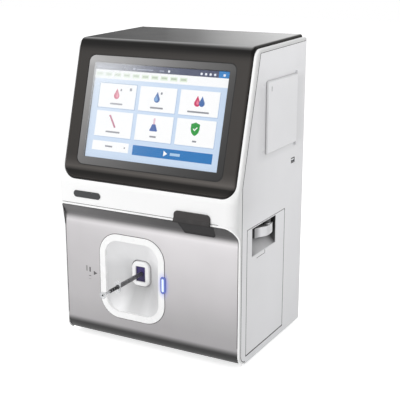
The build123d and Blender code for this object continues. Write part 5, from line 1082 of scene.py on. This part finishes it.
piece("chip_legs", *join_shapes(legs), gold_finish, slot="board_green", smooth=False)
plugs = [slab(board_face, rounded(9.0, 6.0, 0.5, (-8.0 + 12.5 * i, 398.5), 3), 0.0, 7.0) for i in range(8)]
bevel(piece("board_plugs", *join_shapes(plugs), body_finish, slot="board_green", smooth=False), 0.3, 2)
print("board parts:", len(cans), "cans,", len(legs), "legs,", len(plugs), "plugs")

# %% Sockets: bright shells and blades
shells = [band_between(on_side(0.0), rounded(12.0, 4.8, 0.5, (40.0, 267.5)), rounded(11.2, 4.0, 0.4, (40.0, 267.5)),
                       139.2, 148.1)]
piece("side_socket_shell", *join_shapes(shells), bright_finish, slot="socket_dark", smooth=False)
tongue = slab(on_side(0.0), rounded(10.6, 2.0, 0.3, (40.0, 268.5)), 138.6, 147.7)
piece("side_socket_tongue", *tongue, label_finish, slot="socket_dark", smooth=False)
HOST_MID = (57.0, 230.0)
host = [band_between(on_back, rounded(12.0, 4.8, 0.5, (HOST_MID[0], HOST_MID[1] + lift)),
                     rounded(11.2, 4.0, 0.4, (HOST_MID[0], HOST_MID[1] + lift)), -9.8, -0.3) for lift in (-3.8, 3.8)]
piece("rear_socket_shells", *join_shapes(host), bright_finish, slot="socket_dark", smooth=False)
INLET_BLADES = ((90.0, 38.5), (97.0, 42.5), (104.0, 38.5))
blade_shapes = [slab(on_back, rounded(2.2, 4.2, 0.5, middle), -16.9, -0.01) for middle in INLET_BLADES]
piece("inlet_blades", *join_shapes(blade_shapes), gold_finish, slot="socket_dark", smooth=False)
print("shells and blades placed")

# %% [markdown]
# ## Beads and painted shade in the shut lines
# A white bead frames the silver panel, with a thin dark groove beside it. Dark strips fill the gaps
# between frame and side panels, round the drawer, the port's ring and its collar: the gaps are real, their
# darkness is painted shade. The strips run a little over the gap's edges, which keeps these lines crisp.

# %% Lines along the frame
def ribbon(board, points, width, low, high):
    """A strip of even width along an open line of points on a board."""
    left, right = [], []
    for i, (u, v) in enumerate(points):
        ahead = points[min(i + 1, len(points) - 1)]
        behind = points[max(i - 1, 0)]
        run = Vector((ahead[0] - behind[0], ahead[1] - behind[1])).normalized()
        left.append((u - run.y * width / 2, v + run.x * width / 2))
        right.append((u + run.y * width / 2, v - run.x * width / 2))
    return slab(board, left + right[::-1], low, high)


RIM_D, BAND_D = 213.8, 222.0
COVE = (190.4, 209.4)
FOOT_R = 17.3


def frame_surface(h):
    """Depth of the frame's front surface round the silver panel, at height h."""
    if h < FOOT_R:
        return RIM_D - FOOT_R + sqrt(FOOT_R ** 2 - (FOOT_R - h) ** 2)
    if h < COVE[0]:
        return RIM_D
    return RIM_D + (BAND_D - RIM_D) * min(1.0, (h - COVE[0]) / (COVE[1] - COVE[0]))


def opening_path(side, top_out, side_out, radius, foot=1.0, ahead=0.0):
    """Points round one half of the silver opening, from the middle of the band down to the foot."""
    half, top = 147.1, 205.4
    points = [(side * x, top + top_out) for x in (0.0, 30.0, 60.0, 90.0, half - radius)]
    for i in range(1, 13):
        angle = pi / 2 * i / 12
        reach = radius + top_out + (side_out - top_out) * i / 12
        points.append((side * (half - radius + reach * sin(angle)), top - radius + reach * cos(angle)))
    heights = [170.0, 120.0, 70.0, 30.0] + [FOOT_R * (1 - sin(pi / 2 * i / 8)) for i in range(8)]
    points += [(side * (half + side_out), h) for h in heights if h > foot]
    return [spot(x, frame_surface(h) + ahead, h) for x, h in points]


CORNERS = {1: 22.0, -1: 4.0}
beads = [swept(opening_path(side, 1.5, -0.3, corner), 1.15) for side, corner in CORNERS.items()]
piece("panel_bead", *join_shapes(beads), bead_finish, slot="frame_white")
# Painted shade: dark lines beside the bead and under the band's lower edge stand for the shade in their grooves.
groove_shading = [swept(opening_path(side, 0.2, -2.0, corner, 20.0, 0.1), 0.55) for side, corner in CORNERS.items()]
groove_shading += [swept([spot(x, BAND_D - 0.25, 209.5) for x in (-143.0, -60.0, 20.0, 70.0, 118.0)], 0.32)]
piece("bead_groove_shade", *join_shapes(groove_shading), painted_shade_finish, slot="seal_black")
print("beads:", len(beads), "grooves:", len(groove_shading))

# %% Painted shade in the gaps
DRAWER_HOLE = (127.4, 188.6, (129.75, 104.9))
DRAWER_SKIN = (126.1, 186.4, (129.75, 105.3))
LINE_THICK = 0.12
# Painted shade: a dark strip in the drawer's gap.
drawer_line = band_between(on_side(148.5), rounded(DRAWER_HOLE[0] + 0.8, DRAWER_HOLE[1] + 0.2, 0.6, DRAWER_HOLE[2]),
                           rounded(DRAWER_SKIN[0] + 0.1, DRAWER_SKIN[1] + 0.1, 2.0, DRAWER_SKIN[2]), -2.2, LINE_THICK)
SOLE_MID, SOLE_ARC = (195.8, 18.0), 13.8
seam_points = [(SOLE_MID[0], 4.2)]
seam_points += [(SOLE_MID[0] + SOLE_ARC * sin(a), SOLE_MID[1] - SOLE_ARC * cos(a))
                for a in (pi / 2 * i / 12 for i in range(1, 13))]
seam_points += [(209.6, 100.0), (209.6, 180.0), (209.6, SCREEN_H)]
seam_points += [(209.6 - t * 50.33, SCREEN_H + t * 175.53) for t in (0.02, 0.25, 0.5, 0.75, 0.995)]
roof_line = [(158.5, 437.55), (80.0, 439.26), (1.0, 440.98)]
UPRIGHT_FILL, FLAT_FILL = 1.2, 0.6
# Painted shade: dark strips in the seams between frame and side panels.
seams = []
for flank in (-1, 1):
    board = on_side(flank * 148.5)
    proud = LINE_THICK if flank > 0 else -0.02
    ends = sorted((-flank * 2.0, flank * proud))
    seams.append(ribbon(board, seam_points, UPRIGHT_FILL, *ends))
    seams.append(ribbon(board, roof_line, FLAT_FILL, *ends))
piece("seam_shade_lines", *join_shapes([drawer_line] + seams), painted_shade_finish, slot="seal_black", smooth=False)
RING = (111.5, 131.0, 33.0)
RING_LINE = 0.75
# Painted shade: a dark line round the port's ring.
ring_line = band_between(on_front(0.0), rounded(RING[0] + 2 * RING_LINE, RING[1] + 2 * RING_LINE, RING[2] + RING_LINE,
                                                (PORT_X, PORT_H), 16),
                         rounded(RING[0], RING[1], RING[2], (PORT_X, PORT_H), 16), 213.0, 214.4)
piece("ring_shade_line", *ring_line, painted_shade_finish, slot="seal_black", smooth=False)
COLLAR = (30.4, 38.0, 10.0)
FUNNEL_MOUTH = (34.0, 41.6, 11.5)
# Painted shadow: a grey line round the collar, darker towards the left.
collar_line = band_between(on_front(0.0), rounded(FUNNEL_MOUTH[0] - 0.1, FUNNEL_MOUTH[1] - 0.1, FUNNEL_MOUTH[2],
                                                  (PORT_X, PORT_H), 12),
                           rounded(COLLAR[0] + 0.1, COLLAR[1] + 0.1, COLLAR[2], (PORT_X, PORT_H), 12), 186.6, 187.1)
collar_shade_finish = finish("collar_shade_finish", srgb(186, 184, 186), 0.7, grain=0.4, depth=0.01, drift=0.05, drift_size=8,
                       specular=0.2)
tone(collar_shade_finish, ramp_x(collar_shade_finish.node_tree, ((-46, 0.3), (-41, 0.36), (-34, 0.6), (-14, 0.85))))
piece("collar_shade_line", *collar_line, collar_shade_finish, slot="seal_black", smooth=False)
# Painted shade: a dark strip along the foot of the cover's opening and into its corners.
LIP_V, LIP_HALF, LIP_R, LIP_WIDE, LIP_SINK = -14.4, 142.0, 20.0, 1.4, -2.0
LIP_TURN = radians(50)


def lip_edge(wide):
    """Line along the foot of the cover's opening and round into its corners, where the width runs out."""
    half = []
    for i in range(13):
        angle = LIP_TURN * i / 12
        reach = LIP_R + wide * (1 - i / 12)
        half.append((LIP_HALF - LIP_R + reach * sin(angle), LIP_V + LIP_R - reach * cos(angle)))
    return [(-u, v) for u, v in half[::-1]] + half


lip_outline = lip_edge(LIP_WIDE) + lip_edge(0.0)[1:-1][::-1]
piece("cover_shade_line", *slab(on_screen, lip_outline, LIP_SINK - 0.3, LIP_SINK + LINE_THICK), painted_shade_finish,
      slot="seal_black", smooth=False)
# Painted shade: a dark pad in the printer door's notch.
door_notch = slab(on_side(0.0), rounded(1.3, 6.8, 0.3, (127.95, 386.2)), 149.2, 151.7)
piece("door_notch_shade", *door_notch, painted_shade_finish, body="paper_door", slot="seal_black", smooth=False)
print("shade_lines:", 1 + len(seams), "in seams, 1 round the ring, 1 round the collar")

# %% [markdown]
# ## Small marks on the case
# The case carries a few plain marks: a line with a tick under the grip pocket, bars and an arrow beside
# the port, and two small studs beside the printer door. They are thin printed or pressed shapes, not words.

# %% Printed marks
ink = finish("printed_ink", srgb(84, 82, 84), 0.6, grain=0.3, depth=0.002, drift=0.06, drift_size=3)
pale_ink = finish("printed_pale_ink", srgb(138, 138, 136), 0.6, grain=0.3, depth=0.002, drift=0.06, drift_size=3)
PRINT_THICK = 0.06
drawer_face = on_side(148.5)
grip_mark = [slab(drawer_face, rounded(26.0, 0.8, 0.39, (149.0, 149.6)), 0.0, PRINT_THICK),
             slab(drawer_face, rounded(1.4, 6.0, 0.69, (134.6, 151.6)), 0.0, PRINT_THICK)]
piece("grip_mark", *join_shapes(grip_mark), ink, body="drawer", slot="side_white", smooth=False)
panel_face = on_front(214.2)
MARK_H = 101.3
arrow = [slab(panel_face, [(-96.6, MARK_H - 3.3), (-90.0, MARK_H), (-96.6, MARK_H + 3.3)], 0.0, PRINT_THICK),
         slab(panel_face, rounded(2.4, 7.6, 0.4, (-103.2, 105.8)), 0.0, PRINT_THICK),
         slab(panel_face, rounded(4.4, 1.0, 0.4, (-103.4, 95.8)), 0.0, PRINT_THICK)]
piece("port_arrow", *join_shapes(arrow), ink, slot="panel_silver", smooth=False)
pale_marks = [slab(panel_face, rounded(2.6, 8.6, 0.4, (-109.0, 107.0)), 0.0, PRINT_THICK),
              slab(panel_face, rounded(4.4, 0.8, 0.35, (-103.6, 90.8)), 0.0, PRINT_THICK)]
piece("port_pale_marks", *join_shapes(pale_marks), pale_ink, slot="panel_silver", smooth=False)

# %% Studs beside the printer door
STUDS = ((146.8, 300.0), (146.8, 393.0))
stud_shapes = [turned([(0, 1.5), (0.5, 1.5), (0.8, 1.1)], spot(148.5, d, h), Vector((1, 0, 0)), 24) for d, h in STUDS]
piece("door_studs", *join_shapes(stud_shapes), side_finish, slot="side_white")
print("marks and studs placed")

# %% [markdown]
# ## Camera and studio
# The camera stands where the photographer's did: 29 degrees round to the right and 15 degrees up, far
# enough away for an 83 mm lens. A large softbox high on the left gives the front its light; the sheen it
# would leave on the glass border is painted into the border's colour. A weaker one on the right lifts
# the side, and a white world fills the rest.

# %% Camera
camera_data = bpy.data.cameras.new("camera")
camera_data.lens = 82.86
camera_data.sensor_width = 36.0
camera_data.clip_end = 20.0
camera = bpy.data.objects.new("camera", camera_data)
bpy.context.scene.collection.objects.link(camera)
bpy.context.scene.camera = camera
TURN, RISE = radians(28.72), radians(15.44)
camera.location = (0.6719, -1.1404, 0.5832)
gaze = Vector((-sin(TURN) * cos(RISE), cos(TURN) * cos(RISE), -sin(RISE)))
camera.rotation_euler = gaze.to_track_quat("-Z", "Y").to_euler()
print("camera looks along", [round(c, 3) for c in gaze])

# %% Softboxes
def softbox(name, place, aim, size, power, spread=180.0):
    lamp = bpy.data.lights.new(name, "AREA")
    lamp.shape = "RECTANGLE"
    lamp.size, lamp.size_y = size
    lamp.energy = power
    lamp.spread = radians(spread)
    holder = bpy.data.objects.new(name, lamp)
    bpy.context.scene.collection.objects.link(holder)
    holder.location = place
    holder.rotation_euler = (Vector(aim) - Vector(place)).to_track_quat("-Z", "Y").to_euler()
    return holder


softbox("key_softbox", (-1.1, -1.5, 1.3), (0, 0, 0.25), (1.2, 1.2), 20.0)
softbox("side_softbox", (1.9, -0.3, 0.9), (0.1, 0, 0.25), (1.0, 1.2), 9.0)
softbox("top_softbox", (0.0, 0.3, 1.8), (0, 0, 0.4), (1.2, 1.0), 4.0)

# %% World and floor
WORLD_LIGHT = 0.55
FLOOR_GLOW = 0.62
scene = bpy.context.scene
scene.view_settings.view_transform = "Standard"
world = bpy.data.worlds.new("studio")
scene.world = world
world.use_nodes = True
sky = world.node_tree
background = sky.nodes["Background"]
background.inputs["Color"].default_value = (1, 1, 1, 1)
ray = sky.nodes.new("ShaderNodeLightPath")
seen = sky.nodes.new("ShaderNodeMath")
seen.operation = "MAXIMUM"
seen_two = sky.nodes.new("ShaderNodeMath")
seen_two.operation = "MAXIMUM"
level = sky.nodes.new("ShaderNodeMapRange")
level.inputs["To Min"].default_value = WORLD_LIGHT
level.inputs["To Max"].default_value = 1.0
sky.links.new(ray.outputs["Is Camera Ray"], seen.inputs[0])
sky.links.new(ray.outputs["Is Transmission Ray"], seen.inputs[1])
sky.links.new(seen.outputs["Value"], seen_two.inputs[0])
sky.links.new(ray.outputs["Is Glossy Ray"], seen_two.inputs[1])
sky.links.new(seen_two.outputs["Value"], level.inputs["Value"])
sky.links.new(level.outputs["Result"], background.inputs["Strength"])

floor_finish = bpy.data.materials.new("studio_floor")
floor_finish.use_nodes = True
floor_tree = floor_finish.node_tree
floor_skin = floor_tree.nodes["Principled BSDF"]
floor_skin.inputs["Base Color"].default_value = (0.88, 0.88, 0.88, 1)
floor_skin.inputs["Roughness"].default_value = 0.8
floor_ray = floor_tree.nodes.new("ShaderNodeLightPath")
floor_seen = floor_tree.nodes.new("ShaderNodeMath")
floor_seen.operation = "MAXIMUM"
floor_any = floor_tree.nodes.new("ShaderNodeMath")
floor_any.operation = "MAXIMUM"
floor_tree.links.new(floor_ray.outputs["Is Camera Ray"], floor_seen.inputs[0])
floor_tree.links.new(floor_ray.outputs["Is Transmission Ray"], floor_seen.inputs[1])
floor_tree.links.new(floor_seen.outputs["Value"], floor_any.inputs[0])
floor_tree.links.new(floor_ray.outputs["Is Glossy Ray"], floor_any.inputs[1])
floor_tree.links.new(floor_any.outputs["Value"], floor_skin.inputs["Emission Strength"])
floor_skin.inputs["Emission Color"].default_value = (FLOOR_GLOW, FLOOR_GLOW, FLOOR_GLOW, 1)
FLOOR_SIZE = 12.0
floor_mesh = bpy.data.meshes.new("studio_floor")
corner = FLOOR_SIZE / 2
floor_mesh.from_pydata([(-corner, -corner, 0), (corner, -corner, 0), (corner, corner, 0), (-corner, corner, 0)], [],
                       [[0, 1, 2, 3]])
floor_mesh.materials.append(floor_finish)
floor = bpy.data.objects.new("studio_floor", floor_mesh)
scene.collection.objects.link(floor)
